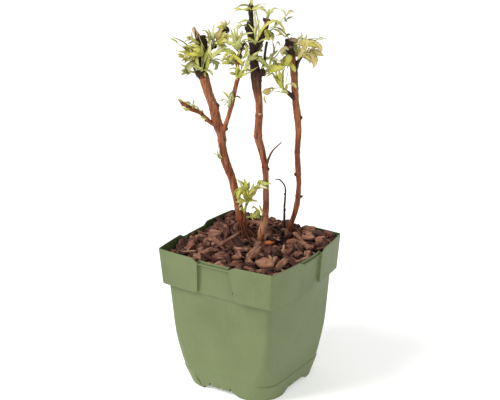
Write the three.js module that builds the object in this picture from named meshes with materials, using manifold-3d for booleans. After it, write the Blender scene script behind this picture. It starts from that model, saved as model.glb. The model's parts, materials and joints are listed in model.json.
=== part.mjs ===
// A raspberry plant in a square nursery pot: three tall pruned canes, their
// side branches and spurs, and young leaves in tufts, over a bed of bark mulch.
// Millimetres, +Z up. The origin is the centre of the pot's underside.
import * as THREE from "three";
import { mergeVertices } from "three/addons/utils/BufferGeometryUtils.js";
import Module from "manifold-3d";

const wasm = await Module();
wasm.setup();

// ---------------------------------------------------------------- pot sizes
const POT_HEIGHT = 156;
const WALL = 1.5;
const RIM_HALF = 70;
const BAND_HALF = 67.7;
const BAND_BASE = 115.5;
const BAND_STEP = 1.2;
const FOOT_LINE = 19;
const FOOT_PROUD = 0.5;
const FLOOR_LOW = 5.5;
const FLOOR_TOP = 7.5;
const SKIRT = 3;
const BOW_START = 36;
// Outward bow in the middle of each side at the rim: +Y, -X, -Y, +X.
const SIDE_BOWS = [2, 4.5, 3.5, 7];
const FOOT_HALF = 54.7;
// Height, half width and corner radius of the body, from the ground up.
const BODY = [
  [0, FOOT_HALF, 30],
  [FOOT_LINE, 57.4 + FOOT_PROUD, 22],
  [FOOT_LINE + 0.6, 57.4, 22],
  [36, 58.6, 15],
  [58, 60.4, 9.5],
  [86, 61.7, 7],
  [BAND_BASE, 63.3, 6],
];
const BED_EDGE = 146.5;
const BED_HALF = 69.44;
const BAND = [
  [BAND_BASE + BAND_STEP, BAND_HALF, 3.5],
  [BED_EDGE, BED_HALF, 2.8],
  [POT_HEIGHT, RIM_HALF, 2.5],
];
const FLOOR_CORNER = 26;
const DOME_CORNER = 20;
// The hollow under the floor, before the skirt round it: height, half width and corner.
const UNDER = [
  [-1, FOOT_HALF, 27],
  [FLOOR_LOW, 55.6, 25],
];
const ARC_STEPS = 4;
const SIDE_STEPS = 4;

const RECESS_DEPTH = 2.8;
const RECESS_TOP_HALF = 18;
const RECESS_LOW_HALF = 21;
const RECESS_BASE = 114;
const PANEL_TOP = 154;
const RIM_DIP = 4;
const RIM_DIP_REACH = 6.5;
// How far a dip's cutting block runs past its slope and over the rim.
const RIM_DIP_SPARE = [0.6, 0.5];
const LABEL_BAR_LOW = 149.4;
const LABEL_BAR_HIGH = 151.2;
const LABEL_BAR_INSET = 0.5;
const LABEL_BAR_DEEP = 2.4;

const NOTCH_HALF = 19;
const NOTCH_HIGH = 4.5;
const NOTCH_SLOPE = 1;
const NOTCH_NEAR = 40;
const SLOT_NEAR = 50;
const DRAIN_SLOT = [5, 2.2];
const DRAIN_PLACES = [-13, 0, 13];

// ------------------------------------------------------------ bed and chips
const GAP = 0.32;
const BED_GAP = 0.45;
// Share of the opening's width and height above the edge of the domed bed.
const BED_DOME = [
  [0.82, 1.8],
  [0.52, 4.6],
  [0.2, 6.2],
];
const CHIPS = 28;
const CHIP_SIZE = [[11, 21], [5.5, 9], [2.4, 3.8]];
const CHIP_TILT = 0.42;
const CHIP_LIFT = 0.5;
// How far the chips stay inside the bed's edge, low down and from the edge up.
const CHIP_ROOM = [1.2, 0.2];
const CHIP_SEED = 5113;

// ---------------------------------------------------------- plant in general
// The canes stand in a fan that is turned this far about the pot's axis.
const FAN_TURN = THREE.MathUtils.degToRad(32.9);
const ACROSS = new THREE.Vector3(Math.cos(FAN_TURN), Math.sin(FAN_TURN), 0);
const FORWARD = new THREE.Vector3(Math.sin(FAN_TURN), -Math.cos(FAN_TURN), 0);
const UP = new THREE.Vector3(0, 0, 1);
const CANE_SIDES = 8;
const TWIG_SIDES = 5;

const STEM_RADIUS = 1.1;
const STEM_LENGTH = 4;
const PETIOLE_RADIUS = 0.55;
const PETIOLE_SPANS = 1;
const LEAF_THICK = 0.5;
const SIDE_LEAFLET = 0.74;
const SIDE_LEAFLET_TURN = THREE.MathUtils.degToRad(62);
const SIDE_LEAFLET_SETBACK = 0.28;
const ANGLE_JITTER = THREE.MathUtils.degToRad(9);
// A leaf that is alone in its fan keeps nearly to its aim.
const LONE_JITTER = 0.15;
const TRIES = 7;
const MERGE = 0.06;
const FINE_MERGE = 0.015;
// Vertices closer than one part of this in a millimetre count as one.
const WELD = 1e4;
const SAMPLE_RADIUS = 1.1;
const CLEARANCE = 0.4;

// Limbs: stations are [across, forward, height, radius] in the fan's frame.
const LIMBS = {
  cane_left: {
    sides: CANE_SIDES,
    stations: [
      [-4, -16, 150, 7], [-8, -16, 165, 5.9], [-12, -16, 185, 4.6], [-19, -16, 218, 4.1],
      [-26, -15, 239, 4.6], [-29, -15, 255, 4.1], [-30, -15, 268, 4.7], [-35, -15, 284, 5.2],
      [-38, -16, 299, 4.9], [-43, -16, 313, 4.6], [-47, -17, 328, 5.4], [-51, -17, 337, 5.7],
      [-48, -17, 347, 4.4], [-45.5, -18, 357, 3.1], [-48, -18, 372, 3.3],
    ],
    spurs: [
      [[-49, -18, 351, 2.6], [-50.5, -17, 360, 2.5], [-52, -16, 370, 3], [-57.5, -15, 380.5, 1.8]],
    ],
  },
  branch_inner: {
    sides: 6, parent: "cane_left",
    stations: [
      [-30, -15, 264, 2.9], [-27, -13, 275, 2.6], [-22, -12, 290, 2.2], [-18, -11, 306, 2.4],
      [-14, -10, 324, 2.2], [-12, -9, 333, 2.2], [-13, -8, 348, 1.7], [-9, -8, 359, 1.5],
      [-5, -9, 368, 1.4],
    ],
  },
  twig_low: {
    sides: TWIG_SIDES, parent: "cane_left",
    stations: [
      [-36, -15, 278, 2.2], [-43, -12, 284, 2.1], [-51, -9, 293, 2], [-60, -5, 299, 2.4],
      [-68, -2, 305, 1.8], [-73, 0, 310, 0.9],
    ],
  },
  branch_side: {
    sides: TWIG_SIDES, parent: "cane_left",
    stations: [
      [-47, -18, 352, 2], [-43, -18, 356, 1.9], [-37, -18, 361, 1.9], [-30.5, -19, 369, 1.8],
      [-23, -20, 380, 1.5],
    ],
  },
  cane_middle: {
    sides: CANE_SIDES,
    stations: [
      [8, -2, 150, 3.3], [11, -2, 162, 3.9], [14, -2, 175, 3.9], [16, -3, 192, 3.4],
      [16, -4, 218, 2.9], [15, -5, 237, 3.3], [12, -6, 252, 3.6], [8, -6, 269, 4.2], [9, -7, 289, 3.8],
      [9, -8, 303, 3.8], [7, -8, 319, 4.6], [6, -8, 332, 5.8], [4.2, -9, 344, 4.1], [4, -10, 355, 3.8],
      [4.6, -10, 365, 5.6], [1.5, -10, 374, 4.7], [-0.2, -10, 382, 4], [1.2, -10, 390, 2.5],
      [1, -10, 399, 2.3], [1, -10, 403, 2.9], [1, -10, 405, 1.7], [2, -10, 410, 0.6],
    ],
    spurs: [
      [[6, -8, 333, 3.4], [11, -7, 335.5, 3.7], [15.5, -6, 336.5, 3.2]],
    ],
  },
  fork_middle: {
    sides: TWIG_SIDES, parent: "cane_middle",
    stations: [
      [5, -10, 359, 3.1], [8.6, -9, 365, 3.1], [12.6, -8, 373, 2.9], [16, -7, 382, 2.3],
      [17, -6, 391, 2.4],
    ],
  },
  twig_thin: {
    sides: 4, parent: "cane_middle",
    stations: [
      [12, -6, 339, 1.6], [14.5, -4, 347, 1.5], [15, -3, 356, 1.3], [17, -2, 369, 1.3],
    ],
  },
  twig_dead: {
    sides: 4, parent: "cane_middle",
    stations: [
      [14, -4, 234, 1.6], [17, -2, 240, 1.4], [19, -1, 247, 1.2], [23, 2, 256, 0.9], [32, 5, 266, 0.5],
    ],
  },
  cane_right: {
    sides: CANE_SIDES,
    stations: [
      [40, -25, 149, 3.4], [42, -25, 161, 2.8], [45, -25, 171, 2.6], [49, -24, 187, 3],
      [51, -23, 208, 2.6], [50, -22, 228, 3.1], [49, -21, 247, 2.8], [50, -20, 266, 3.1],
      [49, -19, 285, 3.7], [47, -19, 300, 3.6], [46, -18, 316, 3.5], [45, -18, 332, 3.8],
      [44, -17, 341, 4], [42, -17, 352, 3.5], [40, -17, 360, 4.2], [40, -17, 368, 5],
    ],
    spurs: [
      [[45, -17, 333, 2.8], [47, -16, 340, 2.4], [49, -14, 346, 2], [52, -12, 351, 1.5]],
      [[46, -18, 305, 2.6], [41, -14, 311, 2.2], [36, -10, 316, 1.7]],
    ],
  },
  stem_dead: {
    sides: 4,
    stations: [
      [36, -28, 151, 1.4], [36, -27, 181, 1.1], [37, -26, 201, 0.9], [36, -26, 208, 0.8],
      [31, -25, 215, 0.7], [26, -24, 216, 0.5],
    ],
  },
  shoot_base: {
    sides: TWIG_SIDES, parent: "cane_left",
    stations: [
      [-8, -14, 166, 1.9], [-6, -8, 177, 1.6], [-6, -5, 188, 1.5], [-4, -4, 197, 1.2],
    ],
  },
};

// Kinds of leaf: one narrow blade, one broad oval, or three leaflets.
const BLADE = "blade";
const OVAL = "oval";
const TREFOIL = "trefoil";
const OVAL_SPREAD = 1.45;

// Colours of foliage and wood.
const TONES = {
  lime: 0xa9b23e,
  fresh: 0x86a046,
  pale: 0xbcc689,
  deep: 0x5d7a3d,
  bronze: 0xb09a4a,
};
const WOOD = { bark: 0x7d4a35, dark: 0x33231d };

// Masses of leaves. Each springs from one short stem on a limb, at a height,
// turned to a facing angle in the fan's plane (0 points across, 90 up) and
// leaned out of it. A fan deals its leaves evenly between two angles.
const MASSES = {
  leaves_left_west: {
    on: "cane_left", height: 343, facing: 150, lean: 10, tone: "lime", seed: 11,
    fans: [
      { aim: [124, 172], leaves: 4, reach: 22, leaf: 10, slim: 0.42, lean: 8, splay: 26, kind: TREFOIL },
      { aim: [132, 132], leaves: 1, reach: 34, leaf: 9, slim: 0.22, lean: 6, splay: 0, kind: BLADE },
    ],
  },
  leaves_left_low: {
    on: "cane_left", height: 335, facing: 180, lean: 20, tone: "deep", seed: 23,
    fans: [
      { aim: [150, 184], leaves: 3, reach: 14, leaf: 9, slim: 0.42, lean: 14, splay: 20 },
    ],
  },
  leaves_left_front: {
    on: "cane_left", height: 335, facing: 60, lean: 62, tone: "fresh", seed: 37,
    fans: [
      { aim: [120, 160], leaves: 1, reach: 13, leaf: 9, slim: 0.42, lean: 30, splay: 8 },
      { aim: [76, 86], leaves: 2, reach: 35, leaf: 24, slim: 0.15, lean: 12, splay: 8, kind: BLADE },
      { aim: [-40, 10], leaves: 1, reach: 9, leaf: 6, slim: 0.42, lean: 24, splay: 10 },
    ],
  },
  leaves_left_right: {
    on: "cane_left", height: 343, facing: 20, lean: 15, tone: "fresh", seed: 43,
    fans: [
      { aim: [24, 40], leaves: 2, reach: 28, leaf: 18, slim: 0.26, lean: 10, splay: 14, kind: BLADE },
      { aim: [-6, 12], leaves: 1, reach: 15, leaf: 8, slim: 0.42, lean: 16, splay: 12 },
    ],
  },
  leaves_left_top: {
    on: "cane_left", line: 1, height: 366, facing: 150, lean: 20, tone: "lime", seed: 59,
    fans: [
      { aim: [136, 166], leaves: 2, reach: 11, leaf: 7, slim: 0.4, lean: 12, splay: 20 },
    ],
  },
  leaves_left_back: {
    on: "cane_left", height: 346, facing: 90, lean: -75, tone: "deep", seed: 61,
    fans: [
      { aim: [30, 150], leaves: 6, reach: 20, leaf: 11, slim: 0.45, lean: -40, splay: 18 },
    ],
  },
  leaves_side_low: {
    on: "branch_side", height: 362, facing: 100, lean: 35, tone: "pale", seed: 71,
    fans: [
      { aim: [75, 135], leaves: 4, reach: 16, leaf: 9, slim: 0.4, lean: 14, splay: 22 },
      { aim: [-25, 25], leaves: 3, reach: 18, leaf: 11, slim: 0.4, lean: 10, splay: 24 },
    ],
  },
  leaves_side_top: {
    on: "branch_side", height: 375, facing: 60, lean: 30, tone: "lime", seed: 83,
    fans: [
      { aim: [108, 170], leaves: 3, reach: 11, leaf: 8, slim: 0.45, lean: 6, splay: 22 },
      { aim: [-110, -60], leaves: 2, reach: 12, leaf: 8, slim: 0.5, lean: 10, splay: 22 },
    ],
  },
  leaves_inner_low: {
    on: "branch_inner", height: 330, facing: 90, lean: 50, tone: "lime", seed: 97,
    fans: [
      { aim: [65, 160], leaves: 3, reach: 12, leaf: 8, slim: 0.42, lean: 24, splay: 18 },
      { aim: [26, 70], leaves: 3, reach: 22, leaf: 13, slim: 0.26, lean: 12, splay: 16, kind: BLADE },
    ],
  },
  leaves_inner_mid: {
    on: "branch_inner", height: 347, facing: 170, lean: 20, tone: "lime", seed: 101,
    fans: [
      { aim: [140, 200], leaves: 2, reach: 14, leaf: 9, slim: 0.36, lean: 10, splay: 26 },
      { aim: [-55, 5], leaves: 1, reach: 11, leaf: 8, slim: 0.42, lean: 30, splay: 8 },
    ],
  },
  leaves_inner_top: {
    on: "branch_inner", height: 363, facing: 120, lean: 15, tone: "pale", seed: 113,
    fans: [
      { aim: [84, 152], leaves: 5, reach: 18, leaf: 12, slim: 0.3, lean: 5, splay: 26, kind: BLADE },
      { aim: [5, 60], leaves: 2, reach: 12, leaf: 10, slim: 0.26, lean: 14, splay: 18, kind: BLADE },
    ],
  },
  leaves_inner_back: {
    on: "branch_inner", height: 340, facing: 110, lean: -65, tone: "deep", seed: 127,
    fans: [
      { aim: [60, 140], leaves: 4, reach: 18, leaf: 10, slim: 0.45, lean: -42, splay: 16 },
    ],
  },
  leaves_middle_fork: {
    on: "cane_middle", height: 364, facing: 80, lean: 60, tone: "pale", seed: 131,
    fans: [
      { aim: [72, 100], leaves: 2, reach: 30, leaf: 22, slim: 0.1, lean: 8, splay: 8, kind: BLADE },
      { aim: [125, 165], leaves: 2, reach: 15, leaf: 12, slim: 0.18, lean: 14, splay: 10, kind: BLADE },
    ],
  },
  leaves_middle_left: {
    on: "cane_middle", height: 384, facing: 175, lean: 25, tone: "pale", seed: 137,
    fans: [
      { aim: [164, 188], leaves: 2, reach: 12, leaf: 10, slim: 0.22, lean: 6, splay: 24, kind: BLADE },
    ],
  },
  leaves_middle_cap: {
    on: "cane_middle", height: 400, facing: 180, lean: 10, tone: "lime", seed: 149,
    fans: [
      { aim: [172, 188], leaves: 2, reach: 15, leaf: 12, slim: 0.17, lean: 0, splay: 34, kind: BLADE },
    ],
  },
  leaves_middle_tip: {
    on: "cane_middle", height: 400, facing: 8, lean: 10, tone: "lime", seed: 151,
    fans: [
      { aim: [-4, 16], leaves: 2, reach: 13, leaf: 11, slim: 0.17, lean: 0, splay: 34, kind: BLADE },
    ],
  },
  leaves_middle_front: {
    on: "cane_middle", height: 350, facing: 100, lean: 70, tone: "deep", seed: 163,
    fans: [
      { aim: [-30, -12], leaves: 1, reach: 15, leaf: 10, slim: 0.34, lean: 30, splay: 6 },
      { aim: [12, 24], leaves: 1, reach: 12, leaf: 9, slim: 0.3, lean: 34, splay: 6 },
      { aim: [196, 214], leaves: 1, reach: 12, leaf: 9, slim: 0.36, lean: 30, splay: 6 },
    ],
  },
  leaves_middle_back: {
    on: "cane_middle", height: 350, facing: 90, lean: -75, tone: "deep", seed: 167,
    fans: [
      { aim: [25, 155], leaves: 6, reach: 22, leaf: 12, slim: 0.42, lean: -36, splay: 18 },
    ],
  },
  leaves_fork_top: {
    on: "fork_middle", height: 389, facing: 80, lean: 10, tone: "pale", seed: 173,
    fans: [
      { aim: [50, 120], leaves: 3, reach: 11, leaf: 9, slim: 0.25, lean: 0, splay: 30, kind: BLADE },
    ],
  },
  leaves_fork_side: {
    on: "fork_middle", height: 378, facing: 10, lean: 15, tone: "deep", seed: 181,
    fans: [
      { aim: [40, 40], leaves: 1, reach: 21, leaf: 18, slim: 0.14, lean: 4, splay: 0, kind: BLADE,
        droop: 2 },
      { aim: [34, 38], leaves: 1, reach: 30, leaf: 8, slim: 0.32, lean: 0, splay: 0, kind: TREFOIL },
      { aim: [-75, -30], leaves: 2, reach: 10, leaf: 7, slim: 0.5, lean: 20, splay: 14 },
    ],
  },
  leaves_twig_thin: {
    on: "twig_thin", height: 352, facing: 0, lean: 20, tone: "deep", seed: 191,
    fans: [
      { aim: [50, 80], leaves: 2, reach: 15, leaf: 11, slim: 0.24, lean: 8, splay: 22, kind: BLADE },
      { aim: [-50, 10], leaves: 2, reach: 11, leaf: 8, slim: 0.36, lean: 14, splay: 20 },
    ],
  },
  leaves_stub: {
    on: "cane_middle", line: 1, height: 338, facing: 60, lean: 45, tone: "fresh", seed: 193,
    fans: [
      { aim: [28, 84], leaves: 2, reach: 12, leaf: 9, slim: 0.3, lean: 16, splay: 12 },
    ],
  },
  leaves_right_spur: {
    on: "cane_right", line: 1, height: 350, facing: 45, lean: 15, tone: "bronze", seed: 199,
    fans: [
      { aim: [22, 34], leaves: 2, reach: 21, leaf: 15, slim: 0.4, lean: -10, splay: 16, droop: 0.7 },
      { aim: [-16, 4], leaves: 2, reach: 15, leaf: 12, slim: 0.4, lean: -8, splay: 16, droop: 0.8 },
      { aim: [75, 110], leaves: 2, reach: 13, leaf: 11, slim: 0.26, lean: 10, splay: 16, kind: BLADE },
    ],
  },
  leaves_right_head: {
    on: "cane_right", height: 363, facing: 15, lean: 10, tone: "pale", seed: 211,
    fans: [
      { aim: [6, 16], leaves: 1, reach: 33, leaf: 12, slim: 0.18, lean: 0, splay: 0, kind: BLADE },
      { aim: [40, 75], leaves: 2, reach: 12, leaf: 8, slim: 0.3, lean: 10, splay: 26 },
    ],
  },
  leaves_right_inner: {
    on: "cane_right", height: 350, facing: 200, lean: 40, tone: "lime", seed: 223,
    fans: [
      { aim: [160, 260], leaves: 3, reach: 11, leaf: 8, slim: 0.42, lean: 26, splay: 14 },
    ],
  },
  leaves_right_low: {
    on: "cane_right", line: 2, height: 315, facing: 130, lean: 20, tone: "fresh", seed: 227,
    fans: [
      { aim: [98, 124], leaves: 3, reach: 25, leaf: 19, slim: 0.15, lean: 9, splay: 5, kind: BLADE },
      { aim: [178, 190], leaves: 1, reach: 21, leaf: 9, slim: 0.5, lean: 8, splay: 10, droop: 0.7 },
    ],
  },
  leaves_right_bud: {
    on: "cane_right", height: 318, facing: 60, lean: 70, tone: "lime", seed: 229,
    fans: [
      { aim: [60, 120], leaves: 1, reach: 7, leaf: 5, slim: 0.5, lean: 24, splay: 10 },
    ],
  },
  leaves_right_back: {
    on: "cane_right", height: 345, facing: 90, lean: -75, tone: "deep", seed: 233,
    fans: [
      { aim: [35, 150], leaves: 5, reach: 20, leaf: 12, slim: 0.45, lean: -40, splay: 18 },
    ],
  },
  leaves_shoot_top: {
    on: "shoot_base", height: 194, facing: 70, lean: 30, tone: "lime", seed: 239,
    fans: [
      { aim: [44, 112], leaves: 4, reach: 23, leaf: 14, slim: 0.3, lean: 6, splay: 16, kind: TREFOIL },
      { aim: [135, 170], leaves: 2, reach: 15, leaf: 10, slim: 0.36, lean: 12, splay: 10, droop: 1 },
    ],
  },
  leaves_shoot_low: {
    on: "shoot_base", height: 180, facing: 10, lean: 30, tone: "lime", seed: 241,
    fans: [
      { aim: [4, 30], leaves: 2, reach: 13, leaf: 8, slim: 0.5, lean: 10, splay: 16 },
    ],
  },
  leaves_twig_low: {
    on: "twig_low", height: 298, facing: 90, lean: 30, tone: "lime", seed: 251,
    fans: [
      { aim: [60, 220], leaves: 3, reach: 9, leaf: 6, slim: 0.42, lean: 8, splay: 20 },
    ],
  },
  leaves_sprout: {
    on: "branch_inner", height: 299, facing: 110, lean: 35, tone: "fresh", seed: 257,
    fans: [
      { aim: [50, 160], leaves: 3, reach: 13, leaf: 8, slim: 0.26, lean: 6, splay: 12, kind: BLADE },
    ],
  },
  leaves_tiny: {
    on: "cane_left", height: 240, facing: 140, lean: 25, tone: "pale", seed: 263,
    fans: [
      { aim: [108, 146], leaves: 2, reach: 10, leaf: 7, slim: 0.24, lean: 6, splay: 10, kind: BLADE },
    ],
  },
};

// ------------------------------------------------------------------- helpers
/** Park-Miller dice: the same seed always deals the same plant. */
class Dice {
  constructor(seed) {
    this.state = seed * 7919;
    this.roll();
  }

  roll() {
    this.state = (this.state * 48271) % 2147483647;
    return this.state / 2147483647;
  }

  between(low, high) {
    return low + (high - low) * this.roll();
  }
}

const inFan = (across, forward, height) => new THREE.Vector3()
  .addScaledVector(ACROSS, across)
  .addScaledVector(FORWARD, forward)
  .addScaledVector(UP, height);

/** Unit direction at an angle in the fan's plane, leaned forward out of it (radians). */
function direction(angle, lean) {
  const flat = Math.cos(lean);
  return inFan(Math.cos(angle) * flat, Math.sin(lean), Math.sin(angle) * flat);
}

function toSolid(geometry) {
  geometry.deleteAttribute("normal");
  geometry.deleteAttribute("uv");
  const merged = mergeVertices(geometry, 1e-4);
  return new wasm.Manifold(new wasm.Mesh({
    numProp: 3,
    vertProperties: Float32Array.from(merged.attributes.position.array),
    triVerts: Uint32Array.from(merged.index.array),
  }));
}

function toGeometry(solid) {
  const mesh = solid.getMesh();
  const geometry = new THREE.BufferGeometry();
  geometry.setAttribute("position", new THREE.BufferAttribute(mesh.vertProperties, 3));
  geometry.setIndex(new THREE.BufferAttribute(mesh.triVerts, 1));
  geometry.computeVertexNormals();
  return geometry;
}

/** Keep the largest piece: loose scraps and the shells of sealed hollows go. */
function largest(solid) {
  const pieces = solid.asOriginal().simplify(FINE_MERGE).decompose();
  pieces.sort((a, b) => b.volume() - a.volume());
  return pieces[0];
}

/** True where every edge still has two faces once vertices a hair apart are one. */
function isTight(solid) {
  const { vertProperties, triVerts } = solid.getMesh();
  const key = (i) => [0, 1, 2].map((axis) => Math.round(vertProperties[3 * i + axis] * WELD)).join();
  const edges = new Map();
  for (let i = 0; i < triVerts.length; i += 3) {
    const corners = [0, 1, 2].map((k) => key(triVerts[i + k]));
    if (new Set(corners).size === 3) {
      corners.forEach((corner, k) => {
        const edge = [corner, corners[(k + 1) % 3]].sort().join(" ");
        edges.set(edge, (edges.get(edge) ?? 0) + 1);
      });
    }
  }
  return [...edges.values()].every((uses) => uses === 2);
}

/** Move every vertex of a geometry by a function of its position. */
function reshape(geometry, place) {
  const position = geometry.attributes.position;
  const vertex = new THREE.Vector3();
  for (let i = 0; i < position.count; i += 1) {
    vertex.fromBufferAttribute(position, i);
    const moved = place(vertex);
    position.setXYZ(i, moved.x, moved.y, moved.z);
  }
  return geometry;
}

/** A capped cylinder of the given sides bent along a curve, with a radius at each share of it. */
function bentTube(curve, radiusAt, sides, rings) {
  const points = [];
  const tangents = [];
  for (let i = 0; i <= rings; i += 1) {
    points.push(curve.getPoint(i / rings));
    tangents.push(curve.getTangent(i / rings));
  }
  const hint = Math.abs(tangents[0].z) < 0.8 ? UP : FORWARD;
  const normals = [new THREE.Vector3().crossVectors(tangents[0], hint).normalize()];
  for (let i = 1; i <= rings; i += 1) {
    const carried = normals[i - 1].clone();
    carried.addScaledVector(tangents[i], -carried.dot(tangents[i]));
    normals.push(carried.normalize());
  }
  const tube = new THREE.CylinderGeometry(1, 1, 1, sides, rings);
  return reshape(tube, (v) => {
    const share = v.y + 0.5;
    const i = Math.round(share * rings);
    const binormal = new THREE.Vector3().crossVectors(tangents[i], normals[i]);
    const radius = radiusAt(share);
    return points[i].clone()
      .addScaledVector(normals[i], v.z * radius)
      .addScaledVector(binormal, v.x * radius);
  });
}

// ----------------------------------------------------------------------- pot
/** Where a pot side bows outward at a height, as a share of its rim bow. */
const bowShare = (z) => THREE.MathUtils.clamp((z - BOW_START) / (POT_HEIGHT - BOW_START), 0, 1.1);

/** A point on a rounded square ring: index j counts steps round it, starting on +X. */
function ringPoint(j, half, corner, z, scale = 1) {
  const steps = ARC_STEPS + SIDE_STEPS;
  const quarter = Math.floor(j / steps) % 4;
  const k = j % steps;
  const turn = quarter * Math.PI / 2;
  const point = new THREE.Vector3();
  if (k <= ARC_STEPS) {
    const angle = (k / ARC_STEPS) * Math.PI / 2;
    point.set(half - corner + corner * Math.cos(angle), half - corner + corner * Math.sin(angle), z);
  } else {
    const share = (k - ARC_STEPS) / SIDE_STEPS;
    const across = 1 - 2 * share;
    const bow = SIDE_BOWS[quarter] * bowShare(z) * (1 - across * across) * scale;
    point.set((half - corner) * across, half + bow, z);
  }
  return point.applyAxisAngle(UP, turn);
}

/** A closed loft through rounded square sections of [height, half width, corner radius, scale]. */
function loft(sections) {
  const around = 4 * (ARC_STEPS + SIDE_STEPS);
  const last = sections.length - 1;
  const shape = new THREE.CylinderGeometry(1, 1, 1, around, last);
  return toSolid(reshape(shape, (v) => {
    const [z, half, corner, scale] = sections[Math.round((v.y + 0.5) * last)];
    if (Math.hypot(v.x, v.z) < 0.5) {
      return new THREE.Vector3(0, 0, z);
    }
    const turn = (Math.atan2(v.x, v.z) + 2 * Math.PI) % (2 * Math.PI);
    const j = Math.round((turn / (2 * Math.PI)) * around) % around;
    return ringPoint(j, half, corner, z, scale ?? 1);
  }));
}

/** The pot's outer shape moved inward, from its lowest section to a height past the rim. */
function insetSections(profile, inset, top = 0) {
  const moved = profile.map(([z, half, corner]) => [z, half - inset, Math.max(corner - inset, 0.8)]);
  const last = moved[moved.length - 1];
  if (top > last[0]) {
    moved.push([top, last[1], last[2]]);
  }
  return moved;
}

/** A box on the +Y side whose half width changes from its foot to its head. */
function taperedBox(lowHalf, highHalf, low, high, near, far) {
  const box = new THREE.BoxGeometry(1, 1, 1);
  return toSolid(reshape(box, (v) => new THREE.Vector3(
    2 * v.x * (v.z < 0 ? lowHalf : highHalf),
    v.y < 0 ? near : far,
    v.z < 0 ? low : high,
  )));
}

function onFourSides(solid) {
  const turned = [0, 90, 180, 270].map((angle) => solid.rotate([0, 0, angle]));
  return wasm.Manifold.union(turned);
}

function halfWidthAt(profile, z) {
  const i = Math.max(1, profile.findIndex((section) => section[0] >= z));
  const [low, high] = [profile[i - 1], profile[i]];
  const share = (z - low[0]) / (high[0] - low[0]);
  return THREE.MathUtils.lerp(low[1], high[1], share);
}

// Cutting boxes on a side run from inside its wall to outside the pot.
const SPARE = 12;
const WALL_NEAR = BAND_HALF - SPARE;
const WALL_FAR = 90;
const OVER_RIM = POT_HEIGHT + SPARE / 2;

function recessRegion(margin) {
  return onFourSides(taperedBox(
    RECESS_LOW_HALF + margin, RECESS_TOP_HALF + margin,
    RECESS_BASE - margin, OVER_RIM, WALL_NEAR, WALL_FAR,
  ));
}

/** The band's surface moved inward, carried down and up past the band. */
function bandLoft(inset) {
  const low = [BAND_BASE - SPARE, BAND_HALF - inset, BAND[0][2]];
  return loft([low, ...insetSections(BAND, inset, POT_HEIGHT + SPARE)]);
}

function buildPot() {
  const outer = loft([...BODY, ...BAND]);
  const innerBody = insetSections(BODY, WALL).filter(([z]) => z > FLOOR_TOP);
  const floorHalf = halfWidthAt(BODY, FLOOR_TOP) - WALL;
  const [bandFoot, ...bandRest] = insetSections(BAND, WALL, OVER_RIM);
  const hollow = loft([
    [FLOOR_TOP, floorHalf, FLOOR_CORNER],
    ...innerBody,
    [bandFoot[0] + 1, bandFoot[1], bandFoot[2]],
    ...bandRest,
  ]);
  const under = loft(UNDER.map(([z, half, corner]) => [z, half - SKIRT, corner]));
  const notches = onFourSides(taperedBox(
    NOTCH_HALF + NOTCH_SLOPE, NOTCH_HALF - NOTCH_SLOPE, UNDER[0][0], NOTCH_HIGH, NOTCH_NEAR, WALL_FAR,
  ));
  const [slotWide, slotHigh] = DRAIN_SLOT;
  const slots = onFourSides(wasm.Manifold.union(DRAIN_PLACES.map((place) => taperedBox(
    slotWide / 2, slotWide / 2, NOTCH_HIGH - 1, NOTCH_HIGH + slotHigh, SLOT_NEAR, WALL_FAR,
  ).translate([place, 0, 0]))));

  const shell = outer.subtract(hollow).subtract(under).subtract(notches).subtract(slots);
  const panelFace = bandLoft(RECESS_DEPTH);
  const panelBack = bandLoft(RECESS_DEPTH + WALL);
  const blocks = recessRegion(WALL).intersect(outer).subtract(panelBack);
  const pockets = recessRegion(0).subtract(panelFace);
  const dips = onFourSides(taperedBox(
    RECESS_TOP_HALF, RECESS_TOP_HALF + RIM_DIP_REACH + RIM_DIP_SPARE[0],
    POT_HEIGHT - RIM_DIP, POT_HEIGHT + RIM_DIP_SPARE[1], WALL_NEAR, WALL_FAR,
  )).subtract(panelFace);
  const panelCut = onFourSides(taperedBox(
    RECESS_TOP_HALF + WALL, RECESS_TOP_HALF + WALL, PANEL_TOP, OVER_RIM, WALL_NEAR, WALL_FAR,
  ));
  const barFront = bandLoft(LABEL_BAR_INSET);
  const barBack = bandLoft(LABEL_BAR_INSET + LABEL_BAR_DEEP);
  const bars = onFourSides(taperedBox(
    RECESS_TOP_HALF + WALL, RECESS_TOP_HALF + WALL, LABEL_BAR_LOW, LABEL_BAR_HIGH, WALL_NEAR, WALL_FAR,
  )).intersect(barFront).subtract(barBack);
  const pot = shell.add(blocks).subtract(pockets).subtract(dips).subtract(panelCut).add(bars);
  return largest(pot.asOriginal().simplify(MERGE));
}

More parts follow.
